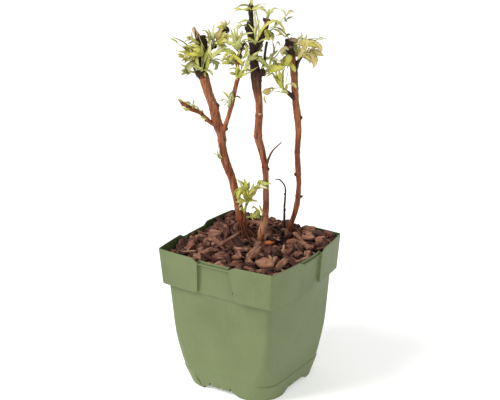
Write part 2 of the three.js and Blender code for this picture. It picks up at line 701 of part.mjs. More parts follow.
/** The filling: compost under a domed bed of bark chips, clear of the walls. */
function buildBed(guard) {
  const clear = WALL + BED_GAP;
  const [bandFoot, bedEdge] = insetSections(BAND, clear);
  const edgeHalf = bedEdge[1];
  const lower = insetSections(BODY, clear).filter(([z]) => z > FLOOR_TOP + 1);
  const floorHalf = halfWidthAt(BODY, FLOOR_TOP) - clear;
  const bandLow = [bandFoot[0] + 1 + BED_GAP, bandFoot[1], bandFoot[2]];
  const dome = BED_DOME.map(([share, rise]) => [
    BED_EDGE + rise, edgeHalf * share, Math.max(2, DOME_CORNER * (1 - share)), share,
  ]);
  const filling = loft([
    [FLOOR_TOP + BED_GAP, floorHalf, FLOOR_CORNER], ...lower, bandLow, bedEdge, ...dome,
  ]);
  const room = loft([
    [BED_EDGE - SPARE, edgeHalf - CHIP_ROOM[0], 2],
    [BED_EDGE, edgeHalf - CHIP_ROOM[1], 2],
    [POT_HEIGHT + SPARE, edgeHalf - CHIP_ROOM[1], 2],
  ]);
  const dice = new Dice(CHIP_SEED);
  const chips = [];
  for (let i = 0; i < CHIPS; i += 1) {
    const [long, wide, thick] = CHIP_SIZE.map(([low, high]) => dice.between(low, high));
    const x = dice.between(-1, 1) * edgeHalf;
    const y = dice.between(-1, 1) * edgeHalf;
    const out = Math.max(Math.abs(x), Math.abs(y)) / edgeHalf;
    const rise = BED_DOME.at(-1)[1] * (1 - out * out);
    const turn = new THREE.Euler(
      dice.between(-CHIP_TILT, CHIP_TILT), dice.between(-CHIP_TILT, CHIP_TILT), dice.between(0, Math.PI),
    );
    const chip = new THREE.BoxGeometry(long, wide, thick);
    chip.applyMatrix4(new THREE.Matrix4().makeRotationFromEuler(turn));
    chip.translate(x, y, BED_EDGE + rise + CHIP_LIFT);
    chips.push(toSolid(chip));
  }
  const heap = wasm.Manifold.union(chips).intersect(room);
  const blockRoom = recessRegion(clear).subtract(bandLoft(RECESS_DEPTH + clear));
  const bed = filling.add(heap).subtract(blockRoom);
  return largest(bed.asOriginal().simplify(MERGE).subtract(guard));
}

// --------------------------------------------------------------------- limbs
/** A limb: one or more tapering tubes through stations, the first of them its own line. */
class Limb {
  constructor(name, spec) {
    this.name = name;
    this.spec = spec;
    this.lines = [spec.stations, ...(spec.spurs ?? [])].map((stations) => ({
      curve: new THREE.CatmullRomCurve3(
        stations.map(([s, f, z]) => inFan(s, f, z)), false, "catmullrom", 0.5,
      ),
      radii: stations.map((station) => station[3]),
    }));
  }

  static radiusOn(line, share) {
    const place = share * (line.radii.length - 1);
    const i = Math.min(Math.floor(place), line.radii.length - 2);
    return THREE.MathUtils.lerp(line.radii[i], line.radii[i + 1], place - i);
  }

  /** The limb's solid, grown outward all round by a margin. */
  solid(margin = 0) {
    const tubes = this.lines.map((line) => {
      const rings = Math.max(line.radii.length - 1, 4);
      const tube = bentTube(
        line.curve, (share) => Limb.radiusOn(line, share) + margin, this.spec.sides, rings,
      );
      return toSolid(tube);
    });
    if (margin > 0) {
      for (const line of this.lines) {
        const ends = [[line.curve.getPoint(0), line.radii[0]], [line.curve.getPoint(1), line.radii.at(-1)]];
        for (const [end, radius] of ends) {
          const wide = radius + margin;
          const cap = new THREE.CylinderGeometry(wide, wide, 2 * margin, this.spec.sides);
          cap.rotateX(Math.PI / 2);
          cap.translate(end.x, end.y, end.z);
          tubes.push(toSolid(cap));
        }
      }
    }
    return wasm.Manifold.union(tubes);
  }

  /** Share of one of the limb's lines at which it passes a height. */
  shareAt(height, index) {
    let [low, high] = [0, 1];
    for (let i = 0; i < 24; i += 1) {
      const middle = (low + high) / 2;
      if (this.lines[index].curve.getPoint(middle).z < height) {
        low = middle;
      } else {
        high = middle;
      }
    }
    return low;
  }

  /** Points with radii along every line, for keeping leaves clear. */
  samples() {
    return this.lines.flatMap((line) => {
      const count = (line.radii.length - 1) * 6;
      return Array.from({ length: count + 1 }, (_, i) => ({
        point: line.curve.getPoint(i / count),
        radius: Limb.radiusOn(line, i / count),
      }));
    });
  }
}

// -------------------------------------------------------------------- leaves
/** One leaflet: a folded oval from its base along a direction. */
class Leaflet {
  constructor(base, along, normal, length, width, droop) {
    this.base = base;
    this.along = along;
    this.normal = normal;
    this.side = new THREE.Vector3().crossVectors(normal, along).normalize();
    this.length = length;
    this.width = width;
    this.droop = droop;
  }

  /** A point at a share of the length, a share of the half width and of the half thickness. */
  point(u, v, w) {
    const half = (this.width / 2) * v;
    return this.base.clone()
      .addScaledVector(this.along, this.length * u)
      .addScaledVector(this.side, half)
      .addScaledVector(this.normal, 0.35 * Math.abs(half) + w * LEAF_THICK / 2)
      .addScaledVector(UP, -this.droop * this.length * u * u * 0.5);
  }

  /** Faceted solid with a given number of rings between base and tip. */
  solid(rings) {
    const stations = rings === 1 ? [0, 0.5, 1] : [0, 0.36, 0.74, 1];
    const widths = rings === 1 ? [0, 1, 0] : [0, 1, 0.66, 0];
    const lens = new THREE.SphereGeometry(1, 4, rings + 1);
    return toSolid(reshape(lens, (v) => {
      const i = Math.round((Math.acos(THREE.MathUtils.clamp(v.y, -1, 1)) / Math.PI) * (rings + 1));
      const spread = Math.hypot(v.x, v.z) || 1;
      return this.point(stations[i], widths[i] * (v.x / spread), widths[i] ? v.z / spread : 0);
    }));
  }

  samples() {
    return [0.3, 0.6, 0.92].flatMap((u) => [-0.6, 0, 0.6].map((v) => ({
      point: this.point(u, u > 0.9 ? v * 0.3 : v, 0),
      radius: SAMPLE_RADIUS,
    })));
  }
}

/** One leaf: a petiole that ends in a blade, or in a leaflet with one to each side. */
class Leaf {
  constructor(root, angle, fan, dice, lean) {
    const along = direction(angle, lean);
    const reach = fan.reach * dice.between(0.78, 1.06);
    const size = fan.leaf * dice.between(0.82, 1.12);
    const tilt = dice.between(0.15, 1.25);
    const roll = dice.between(-0.5, 0.5);
    const stalk = Math.max(reach - size, reach * 0.25);
    const droop = (fan.droop ?? 0.35) * dice.between(0.7, 1.3);
    const facing = UP.clone().multiplyScalar(Math.cos(tilt)).addScaledVector(FORWARD, Math.sin(tilt));
    const normal = facing.addScaledVector(along, -facing.dot(along)).normalize();
    normal.applyAxisAngle(along, roll);
    const middle = root.clone().addScaledVector(along, stalk * 0.5).addScaledVector(UP, stalk * 0.06);
    const end = root.clone().addScaledVector(along, stalk);
    this.petiole = new THREE.CatmullRomCurve3([root, middle, end], false, "catmullrom", 0.5);
    this.reach = reach;
    const seat = end.clone().addScaledVector(along, -0.8);
    const kind = fan.kind ?? OVAL;
    const width = size * fan.slim * (kind === OVAL ? OVAL_SPREAD : 1);
    this.leaflets = [new Leaflet(seat, along, normal, size + 0.8, width, droop)];
    if (kind === TREFOIL) {
      const length = size * SIDE_LEAFLET;
      const back = Math.min(stalk * 0.6, size * SIDE_LEAFLET_SETBACK);
      for (const hand of [-1, 1]) {
        const turn = SIDE_LEAFLET_TURN * dice.between(0.85, 1.15) * hand;
        const out = along.clone().applyAxisAngle(normal, turn);
        const pair = this.petiole.getPoint(1 - back / stalk).addScaledVector(out, -PETIOLE_RADIUS / 2);
        this.leaflets.push(new Leaflet(pair, out, normal, length, length * fan.slim * 1.1, droop));
      }
    }
  }

  solid() {
    const petiole = bentTube(this.petiole, () => PETIOLE_RADIUS, 3, PETIOLE_SPANS);
    const blades = this.leaflets.map((leaflet, i) => leaflet.solid(i === 0 ? 2 : 1));
    return wasm.Manifold.union([toSolid(petiole), ...blades]).asOriginal().simplify(MERGE);
  }

  samples() {
    const petiole = [0.55, 0.8, 1].map((t) => ({ point: this.petiole.getPoint(t), radius: PETIOLE_RADIUS }));
    return [...petiole, ...this.leaflets.flatMap((leaflet) => leaflet.samples())];
  }
}

/** A mass of leaves on one stem, which keeps to its own space among the others. */
class Mass {
  constructor(name, spec, limb) {
    this.name = name;
    this.spec = spec;
    const rad = THREE.MathUtils.degToRad;
    const index = spec.line ?? 0;
    const line = limb.lines[index];
    const share = limb.shareAt(spec.height, index);
    this.root = line.curve.getPoint(share);
    this.out = direction(rad(spec.facing), rad(spec.lean));
    this.length = Limb.radiusOn(line, share) + STEM_LENGTH;
    this.leaves = [];
  }

  /** Deal the leaves of every fan; one that meets a limb or another mass is turned or skipped. */
  grow(taken) {
    const rad = THREE.MathUtils.degToRad;
    const dice = new Dice(this.spec.seed);
    for (const fan of this.spec.fans) {
      const jitter = ANGLE_JITTER * (fan.leaves > 1 ? 1 : LONE_JITTER);
      for (let k = 0; k < fan.leaves; k += 1) {
        const share = (k + 0.5) / fan.leaves;
        const middle = THREE.MathUtils.lerp(rad(fan.aim[0]), rad(fan.aim[1]), share);
        const hand = k % 2 ? 1 : -1;
        for (let attempt = 0; attempt < TRIES; attempt += 1) {
          const angle = middle + dice.between(-1, 1) * jitter * (1 + attempt * 0.5);
          const lean = rad(fan.lean + hand * fan.splay * dice.between(0.3, 1));
          const along = dice.between(0.72, 0.98);
          const root = this.root.clone().addScaledVector(this.out, this.length * along);
          const leaf = new Leaf(root, angle, fan, dice, lean);
          if (isClear(leaf, taken, this.name)) {
            this.leaves.push(leaf);
            break;
          }
        }
      }
    }
    for (const leaf of this.leaves) {
      taken.push(...leaf.samples().map((sample) => ({ ...sample, owner: this.name })));
    }
  }

  stem() {
    const tip = this.root.clone().addScaledVector(this.out, this.length);
    const middle = this.root.clone().lerp(tip, 0.5);
    const curve = new THREE.CatmullRomCurve3([this.root, middle, tip], false, "catmullrom", 0.5);
    return toSolid(bentTube(curve, () => STEM_RADIUS, TWIG_SIDES, 1));
  }

  /** One solid: the stem cut clear of the limbs, with every leaf that stays clear of the others. */
  solid(guard, others) {
    const join = (pieces) => {
      const union = wasm.Manifold.union(pieces).asOriginal().simplify(MERGE);
      return largest(union.subtract(guard));
    };
    let pieces = [this.stem()];
    let whole = join(pieces);
    for (const leaf of this.leaves) {
      const solid = leaf.solid().subtract(guard);
      const next = join([...pieces, solid]);
      if (isTight(next) && others.every((other) => solid.minGap(other, GAP) >= GAP * 0.9)) {
        pieces = [...pieces, solid];
        whole = next;
      }
    }
    return whole;
  }
}

/** True where none of a leaf's sample points is too near one already taken. */
function isClear(leaf, taken, owner) {
  return leaf.samples().every(({ point, radius }) => taken.every((other) => (
    other.owner === owner
    || point.distanceTo(other.point) > radius + other.radius + CLEARANCE
  )));
}

// ------------------------------------------------------------------ assembly
function addNode(group, name, solid, color, roughness) {
  const material = new THREE.MeshStandardMaterial({ color, roughness, metalness: 0 });
  material.name = `${name}_finish`;
  const mesh = new THREE.Mesh(toGeometry(solid), material);
  mesh.name = name;
  group.add(mesh);
}

function buildPlant() {
  const group = new THREE.Group();
  group.name = "raspberry_cane_in_pot";
  const limbs = Object.entries(LIMBS).map(([name, spec]) => new Limb(name, spec));
  const byName = Object.fromEntries(limbs.map((limb) => [limb.name, limb]));
  const guards = Object.fromEntries(limbs.map((limb) => [limb.name, limb.solid(GAP)]));
  const guard = wasm.Manifold.union(Object.values(guards));

  addNode(group, "pot_body", buildPot(), 0x7e8d62, 0.5);
  const bed = buildBed(guard);
  addNode(group, "bark_bed", bed, 0x4a3228, 0.95);
  for (const limb of limbs) {
    const parent = limb.spec.parent;
    const whole = parent ? largest(limb.solid().subtract(guards[parent])) : limb.solid();
    const dark = limb.name.includes("dead") || limb.name.includes("side") || limb.name.includes("thin");
    addNode(group, limb.name, whole, dark ? WOOD.dark : WOOD.bark, 0.7);
  }

  const taken = limbs.flatMap((limb) => limb.samples().map((sample) => ({ ...sample, owner: limb.name })));
  const done = [bed];
  for (const [name, spec] of Object.entries(MASSES)) {
    const mass = new Mass(name, spec, byName[spec.on]);
    mass.grow(taken);
    const solid = mass.solid(guard, done);
    done.push(solid);
    addNode(group, name, solid, TONES[spec.tone], 0.6);
  }
  return group;
}

export default buildPlant();
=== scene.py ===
"""A young raspberry plant in a square nursery pot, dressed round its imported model.

The classes hold their sizes in millimetres, +Z up, from the centre of the pot's
underside. Meshes are made in metres, in the model's own frame.
"""
import json
import logging
from dataclasses import dataclass, field, replace
from enum import Enum
from functools import partial
from math import asin, atan2, cos, exp, hypot, log, pi, radians, sin, sqrt
from typing import ClassVar

import bpy
import numpy as np
from bpy.types import ID, Material, Mesh, Node, NodeSocket, NodeTree, Object
from mathutils import Matrix, Vector, noise

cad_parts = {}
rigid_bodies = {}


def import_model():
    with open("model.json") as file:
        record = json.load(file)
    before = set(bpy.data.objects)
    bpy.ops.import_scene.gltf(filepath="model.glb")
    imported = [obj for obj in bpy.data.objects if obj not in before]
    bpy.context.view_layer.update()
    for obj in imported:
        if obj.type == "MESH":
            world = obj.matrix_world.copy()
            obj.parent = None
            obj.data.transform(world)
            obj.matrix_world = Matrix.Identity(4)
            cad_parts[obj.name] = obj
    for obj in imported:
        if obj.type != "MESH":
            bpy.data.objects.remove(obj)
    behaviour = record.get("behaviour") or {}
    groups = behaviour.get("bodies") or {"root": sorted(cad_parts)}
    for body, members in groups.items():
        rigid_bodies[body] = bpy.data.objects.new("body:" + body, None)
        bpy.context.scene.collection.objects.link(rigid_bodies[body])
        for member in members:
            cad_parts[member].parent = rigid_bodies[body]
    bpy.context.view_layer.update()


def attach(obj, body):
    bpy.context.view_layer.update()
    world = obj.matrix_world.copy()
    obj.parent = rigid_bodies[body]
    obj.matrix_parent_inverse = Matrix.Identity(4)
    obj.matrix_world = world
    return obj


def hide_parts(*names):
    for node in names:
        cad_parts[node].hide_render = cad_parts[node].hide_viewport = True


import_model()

LOG = logging.getLogger("raspberry")
MM = 0.001
BODY = "root"
# A height above everything, for what never starts.
NEVER = 900.0

Array = np.ndarray
Point = tuple[float, float, float]
Faces = list[tuple[int, ...]]
Pair = tuple[float, float]
Station = tuple[float, float, float, float]
Samples = list[tuple[Array, float]]

# The canes stand in a fan that is turned this far about the pot's axis.
FAN_TURN = radians(32.9)
ACROSS = np.array([cos(FAN_TURN), sin(FAN_TURN), 0.0])
FORWARD = np.array([sin(FAN_TURN), -cos(FAN_TURN), 0.0])
UP = np.array([0.0, 0.0, 1.0])


# Small maths.
def in_fan(across: float, forward: float, height: float) -> Array:
    """Point of the fan's own frame, as a point of the model."""
    return ACROSS * across + FORWARD * forward + UP * height


def direction(angle: float, lean: float) -> Array:
    """Unit direction at an angle in the fan's plane, leaned forward out of it."""
    flat = cos(lean)
    return in_fan(cos(angle) * flat, sin(lean), sin(angle) * flat)


def unit(vector: Array) -> Array:
    """The vector at length one."""
    return vector / max(float(np.linalg.norm(vector)), 1e-12)


def turned(vector: Array, axis: Array, angle: float) -> Array:
    """The vector turned about a unit axis by an angle in radians."""
    c, s = cos(angle), sin(angle)
    return vector * c + np.cross(axis, vector) * s + axis * float(axis @ vector) * (1 - c)


def ease(low: float, high: float, value: float) -> float:
    """Smooth step from nought at low to one at high."""
    share = min(max((float(value) - low) / (high - low), 0.0), 1.0)
    return share * share * (3 - 2 * share)


def rough(point: Array, size: float, octaves: int = 3) -> float:
    """Fractal noise about nought at a point, with lumps of a size in millimetres."""
    return noise.fractal(Vector(point / size), 0.9, 2.1, octaves)


class Dice:
    """Park-Miller dice: the same seed always deals the same plant."""

    def __init__(self, seed: int) -> None:
        """Set the dice from a seed."""
        self.state = seed * 7919
        self.roll()

    def roll(self) -> float:
        """Next number between nought and one."""
        self.state = (self.state * 48271) % 2147483647
        return self.state / 2147483647

    def between(self, low: float, high: float) -> float:
        """Next number between two limits."""
        return low + (high - low) * self.roll()


class Curve:
    """A smooth curve through its stations, which are evenly spaced shares of it."""

    def __init__(self, stations: list[Array]) -> None:
        """Keep the stations, with one more past each end."""
        points = np.array(stations, float)
        first = 2 * points[0] - points[1]
        last = 2 * points[-1] - points[-2]
        self.spans = len(points) - 1
        self.points = np.vstack([first, points, last])

    def at(self, share: float) -> Array:
        """Point at a share of the way."""
        place = min(max(share, 0.0), 1.0) * self.spans
        span = min(int(place), self.spans - 1)
        t = place - span
        before, start, end, after = self.points[span:span + 4]
        slope_in = 0.5 * (end - before)
        slope_out = 0.5 * (after - start)
        square = -3 * start + 3 * end - 2 * slope_in - slope_out
        cube = 2 * start - 2 * end + slope_in + slope_out
        return start + slope_in * t + square * t * t + cube * t * t * t


# Meshes.
class Parts:
    """Vertices, faces and point values gathered for one mesh."""

    def __init__(self, *values: str) -> None:
        """Start empty, with the names of the values that every point carries."""
        self.points: list[Array] = []
        self.faces: Faces = []
        self.values: dict[str, list[Array]] = {name: [] for name in values}
        self.count = 0

    def add(self, points: Array, faces: Faces, **values: Array | float) -> None:
        """Add points in millimetres with faces that count from the first of them.

        Args:
            points: the new points, one row each.
            faces: tuples of indices into the new points.
            values: one number for all of the points, or one for each.
        """
        first = self.count
        self.points.append(np.asarray(points, float))
        self.faces.extend(tuple(first + i for i in face) for face in faces)
        for name, store in self.values.items():
            store.append(np.broadcast_to(np.asarray(values.get(name, 0.0), float), (len(points),)))
        self.count += len(points)

    def mesh(self, name: str, smooth: bool = True, crease: float = 0.0) -> Mesh:
        """Make the mesh in metres.

        Args:
            name: the mesh's name.
            smooth: whether its faces are shaded smooth.
            crease: angle in radians past which an edge stays sharp, or nought.

        Returns:
            The new mesh, with its point values as attributes.
        """
        mesh = bpy.data.meshes.new(name)
        mesh.from_pydata((np.vstack(self.points) * MM).tolist(), [], self.faces)
        for key, store in self.values.items():
            attribute = mesh.attributes.new(key, "FLOAT", "POINT")
            attribute.data.foreach_set("value", np.concatenate(store).astype(np.float32))
        mesh.validate()
        mesh.polygons.foreach_set("use_smooth", [smooth] * len(mesh.polygons))
        if crease:
            mesh.set_sharp_from_angle(angle=crease)
        mesh.update()
        return mesh


def grid_faces(rings: int, around: int) -> Faces:
    """Faces between closed rings that follow one another, outward for rings that rise."""
    faces = []
    for i in range(rings - 1):
        low, high = i * around, (i + 1) * around
        for j in range(around):
            k = (j + 1) % around
            faces.append((low + j, low + k, high + k, high + j))
    return faces


def capped_faces(rings: int, around: int) -> Faces:
    """Faces between closed rings, with a fan at each end to the two points after the last ring."""
    faces = grid_faces(rings, around)
    low, last = rings * around, (rings - 1) * around
    for j in range(around):
        k = (j + 1) % around
        faces += [(low, k, j), (low + 1, last + j, last + k)]
    return faces


def sweep(parts: Parts, centres: Array, radii: Array, **values: Array | float) -> None:
    """Add a closed tube along centres, with one row of radii for each.

    Args:
        parts: where the tube goes.
        centres: the points of its axis.
        radii: for each centre, the radius at each step around.
        values: the point values: one number, one for each centre, or one for each step around it.
    """
    rings, around = radii.shape
    tangents = np.gradient(centres, axis=0)
    tangents /= np.linalg.norm(tangents, axis=1)[:, None]
    hint = UP if abs(tangents[0][2]) < 0.8 else FORWARD
    normal = unit(np.cross(tangents[0], hint))
    turns = np.arange(around) / around * 2 * pi
    points = np.empty((rings * around + 2, 3))
    for i in range(rings):
        normal = unit(normal - tangents[i] * float(normal @ tangents[i]))
        side = np.cross(tangents[i], normal)
        ring = np.outer(np.cos(turns), normal) + np.outer(np.sin(turns), side)
        points[i * around:(i + 1) * around] = centres[i] + ring * radii[i][:, None]
    points[-2] = centres[0]
    points[-1] = centres[-1]
    flat = {}
    for name, value in values.items():
        table = np.broadcast_to(value, radii.shape)
        flat[name] = np.concatenate([table.ravel(), table[0][:1], table[-1][:1]])
    parts.add(points, capped_faces(rings, around), **flat)


def add_grain(mesh: Mesh, points: Array) -> None:
    """Give every point of a mesh its place in metres in the flake that it was broken from."""
    grain = mesh.attributes.new("grain", "FLOAT_VECTOR", "POINT")
    grain.data.foreach_set("vector", points.astype(np.float32).ravel())


def stand(name: str, data: ID) -> Object:
    """A new object that stands in the scene."""
    thing = bpy.data.objects.new(name, data)
    bpy.context.scene.collection.objects.link(thing)
    return thing


def place(mesh: Mesh, name: str, material: Material, slot: str, *nodes: str) -> Object:
    """Put a finished mesh on the model.

    Args:
        mesh: the mesh, with its place in it.
        name: the piece's name.
        material: its finish.
        slot: the record's slot that the finish stands for; not used.
        nodes: the model's nodes that the piece stands for.

    Returns:
        The piece.
    """
    piece = stand(name, mesh)
    mesh.materials.clear()
    mesh.materials.append(material)
    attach(piece, BODY)
    if nodes:
        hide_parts(*nodes)
    LOG.info("%s: %d faces", name, len(mesh.polygons))
    return piece


# Shaders.
def colour(code: str) -> Station:
    """A colour written as six hex digits, as the linear values that a shader takes."""
    parts = [int(code[i:i + 2], 16) / 255 for i in (0, 2, 4)]
    linear = [c / 12.92 if c <= 0.04045 else ((c + 0.055) / 1.055) ** 2.4 for c in parts]
    return (*linear, 1.0)


def feed(tree: NodeTree, socket: NodeSocket, value: object) -> None:
    """Link a socket to another or to a wire's, or set it to a value or to six hex digits."""
    value = getattr(value, "socket", value)
    if isinstance(value, NodeSocket):
        tree.links.new(value, socket)
    else:
        socket.default_value = colour(value) if socket.type == "RGBA" else value


def add_node(tree: NodeTree, kind: str, settings: dict | None = None, inputs: dict | None = None) -> Node:
    """Add any node to a tree.

    Args:
        tree: where it goes.
        kind: the node's type.
        settings: its properties, and a ramp's stops.
        inputs: values, sockets or wires by the name or number of the node's socket.

    Returns:
        The node.
    """
    node = tree.nodes.new(kind)
    settings = dict(settings or {})
    stops = settings.pop("stops", ())
    for key, value in settings.items():
        setattr(node, key, value)
    for i, (position, shade) in enumerate(stops):
        ramp = node.color_ramp.elements
        element = ramp[i] if i < len(ramp) else ramp.new(position)
        element.position, element.color = position, colour(shade)
    for key, value in (inputs or {}).items():
        feed(tree, node.inputs[key], value)
    return node


class Wire:
    """A shader socket that can stand in sums."""

    def __init__(self, shader: "Shader", socket: NodeSocket) -> None:
        """Keep the socket and the shader that it belongs to."""
        self.shader = shader
        self.socket = socket

    def _sum(self, operation: str, *terms: "Wire | float") -> "Wire":
        """A Math node on the terms."""
        return self.shader.wire("ShaderNodeMath", 0, dict(enumerate(terms)), operation=operation)

    def __add__(self, other: "Wire | float") -> "Wire":
        """Sum."""
        return self._sum("ADD", self, other)

    __radd__ = __add__

    def __sub__(self, other: "Wire | float") -> "Wire":
        """Difference."""
        return self._sum("SUBTRACT", self, other)

    def __rsub__(self, other: float) -> "Wire":
        """Difference from a number."""
        return self._sum("SUBTRACT", other, self)

    def __mul__(self, other: "Wire | float") -> "Wire":
        """Product."""
        return self._sum("MULTIPLY", self, other)

    __rmul__ = __mul__

    def sine(self) -> "Wire":
        """Sine of the value in radians."""
        return self._sum("SINE", self)

    def step(self, low: float, high: float) -> "Wire":
        """Smooth step from nought at low to one at high."""
        inputs = {"Value": self, "From Min": low, "From Max": high}
        return self.shader.wire("ShaderNodeMapRange", "Result", inputs, interpolation_type="SMOOTHSTEP")


class Shader:
    """A material and its nodes."""

    def __init__(self, name: str) -> None:
        """Start a material with a Principled shader."""
        self.material = bpy.data.materials.new(name)
        self.material.use_nodes = True
        self.tree = self.material.node_tree
        self.principled = next(n for n in self.tree.nodes if n.type == "BSDF_PRINCIPLED")

    def wire(self, kind: str, output: int | str, inputs: dict | None = None, **settings: object) -> Wire:
        """Add any node to the material and give the one of its outputs that is used."""
        return Wire(self, add_node(self.tree, kind, settings, inputs).outputs[output])

    def place(self, scale: Point = (1, 1, 1)) -> Wire:
        """Object coordinates, scaled along each axis."""
        where = self.wire("ShaderNodeTexCoord", "Object")
        return self.wire("ShaderNodeMapping", "Vector", {"Vector": where, "Scale": scale})

    def height(self) -> Wire:
        """Height above the ground in metres."""
        return self.wire("ShaderNodeSeparateXYZ", "Z", {0: self.place()})

    def value(self, name: str, output: str = "Fac") -> Wire:
        """A point value of the mesh, or a point vector."""
        return self.wire("ShaderNodeAttribute", output, attribute_name=name)

    def noise(self, where: Wire, scale: float, detail: float = 3.0, roughness: float = 0.55) -> Wire:
        """Fractal noise between nought and one."""
        inputs = {"Vector": where, "Scale": scale, "Detail": detail, "Roughness": roughness}
        return self.wire("ShaderNodeTexNoise", "Fac", inputs)

    def cells(self, where: Wire, scale: float) -> Wire:
        """Distance to the nearest of scattered points."""
        return self.wire("ShaderNodeTexVoronoi", "Distance", {"Vector": where, "Scale": scale})

    def mix(self, share: Wire | float, first: Wire | str, second: Wire | str) -> Wire:
        """Two colours, each a wire or six hex digits, mixed by a share."""
        return self.wire("ShaderNodeMix", 2, {0: share, 6: first, 7: second}, data_type="RGBA")

    def bump(self, height: Wire, depth: float, strength: float = 1.0) -> Wire:
        """Relief of a depth in metres."""
        inputs = {"Height": height, "Distance": depth, "Strength": strength}
        return self.wire("ShaderNodeBump", "Normal", inputs)

    def finish(self, **sockets: "Wire | float | str") -> Material:
        """Set the Principled shader's sockets, named with underscores for spaces.

        Args:
            sockets: values or wires by socket.

        Returns:
            The material.
        """
        for key, value in sockets.items():
            feed(self.tree, self.principled.inputs[key.replace("_", " ")], value)
        return self.material


@dataclass(frozen=True)
class PotPlastic:
    """Matte green moulded plastic, a little scuffed, with painted shade inside and under the pot and
    painted light towards its foot.
    """

    face: str = "69744a"
    scuffed: str = "616c43"
    # Pale green, for the streaks and for the painted light towards the foot.
    light: str = "768156"
    # Darker green for painted shade: the inner wall, the rim's inner edge, the floor and the underside.
    inside: str = "45562f"

    def material(self) -> Material:
        """The finish as a material."""
        shader = Shader("pot_plastic")
        here = shader.place()
        broad = shader.noise(here, 22, 3)
        grain = shader.noise(here, 1400, 2)
        streak = shader.noise(shader.place((60, 60, 9)), 4, 3)
        face = shader.mix(broad.step(0.35, 0.7), self.face, self.scuffed)
        face = shader.mix(streak.step(0.52, 0.8) * 0.25, face, self.light)
        # Painted light: the lowest 130 mm are mixed towards the pale green, lighter near the ground, for
        # light bounced up from the floor.
        face = shader.mix((1 - shader.height().step(0.0, 0.13)) * 0.45, face, self.light)
        # Painted shade: the faces marked inside are mixed to the darker green.
        base = shader.mix(shader.value("inside"), face, self.inside)
        return shader.finish(
            Base_Color=base,
            Roughness=0.44 + 0.16 * broad,
            Normal=shader.bump(0.15 * grain + 2 * broad, 0.0011, 0.4),
            Specular_IOR_Level=0.42,
        )


@dataclass(frozen=True)
class BarkMulch:
    """Flakes of composted bark, each in its own brown, with grain along it."""

    dark: str = "2f1c15"
    low: str = "543227"
    middle: str = "7c5240"
    light: str = "a88064"
    warm: str = "a9592b"

    def material(self) -> Material:
        """The finish as a material."""
        shader = Shader("bark_mulch")
        tint = shader.value("tint")
        grain = shader.value("grain", "Vector")
        scale = (60, 420, 260)
        drawn = shader.wire("ShaderNodeVectorMath", 0, {0: grain, 1: scale}, operation="MULTIPLY")
        lines = shader.noise(drawn, 1.0, 4, 0.62)
        blotch = shader.noise(shader.place(), 160, 3)
        shade = (0.42 * tint + 0.72 * lines + 0.5 * blotch - 0.46).step(0.0, 0.8)
        stops = ((0.0, self.dark), (0.4, self.low), (0.68, self.middle), (1.0, self.light))
        brown = shader.wire("ShaderNodeValToRGB", "Color", {0: shade}, stops=stops)
        return shader.finish(
            Base_Color=shader.mix(shader.value("warm"), brown, self.warm),
            Roughness=0.72 + 0.2 * lines,
            Normal=shader.bump(lines + 0.4 * blotch, 0.0009, 0.8),
            Specular_IOR_Level=0.35,
        )


@dataclass(frozen=True)
class Compost:
    """Nearly black soil between the flakes."""

    wet: str = "140d0a"
    dry: str = "33211a"

    def material(self) -> Material:
        """The finish as a material."""
        shader = Shader("compost")
        here = shader.place()
        crumbs = shader.noise(here, 420, 5, 0.7)
        return shader.finish(
            Base_Color=shader.mix(crumbs.step(0.4, 0.75), self.wet, self.dry),
            Roughness=0.95,
            Normal=shader.bump(crumbs, 0.002, 1.0),
        )


@dataclass(frozen=True)
class CaneBark:
    """Peeling red-brown bark, dark and knobby where the cane was cut."""

    red: str = "924a27"
    deep: str = "552a18"
    gold: str = "ae703e"
    tan: str = "bc8763"
    fleck: str = "cda37a"
    dark: str = "25140c"
    dusk: str = "492a1b"
    young: str = "a8ae52"
    wood: str = "c2a17c"
    core: str = "4b2f22"

    def material(self) -> Material:
        """The finish as a material."""
        shader = Shader("cane_bark")
        streak = shader.noise(shader.place((1, 1, 0.14)), 520, 4, 0.6)
        patch = shader.noise(shader.place((1, 1, 0.35)), 130, 3)
        broad = shader.noise(shader.place((1, 1, 0.5)), 42, 2)
        spots = shader.cells(shader.place((1, 1, 1.6)), 300)
        dot = 1 - spots.step(0.08, 0.2)
        base = shader.mix(streak.step(0.26, 0.66), self.deep, self.red)
        base = shader.mix(broad.step(0.42, 0.66) * streak.step(0.3, 0.7) * 0.75, base, self.gold)
        base = shader.mix(patch.step(0.54, 0.7) * streak.step(0.36, 0.66) * 0.65, base, self.tan)
        base = shader.mix((1 - patch.step(0.32, 0.46)) * 0.7, base, self.deep)
        base = shader.mix(dot * 0.5, base, self.fleck)
        # Tan bands from the limb: worn bark, and on the left cane at 310 a painted highlight.
        base = shader.mix(shader.value("tan") * streak.step(0.3, 0.56), base, self.tan)
        base = shader.mix(shader.value("young") * 0.9, base, self.young)
        night = shader.mix(streak.step(0.42, 0.7), self.dark, self.dusk)
        night = shader.mix(patch.step(0.6, 0.66) * dot * 0.7, night, self.fleck)
        base = shader.mix(shader.value("dark"), base, night)
        wood = shader.mix(streak.step(0.4, 0.56), self.core, self.wood)
        base = shader.mix(shader.value("cut"), base, wood)
        return shader.finish(
            Base_Color=base,
            Roughness=0.5 + 0.3 * streak,
            Normal=shader.bump(streak + 0.5 * patch - 0.4 * dot, 0.0009, 1.0),
            Specular_IOR_Level=0.3,
        )


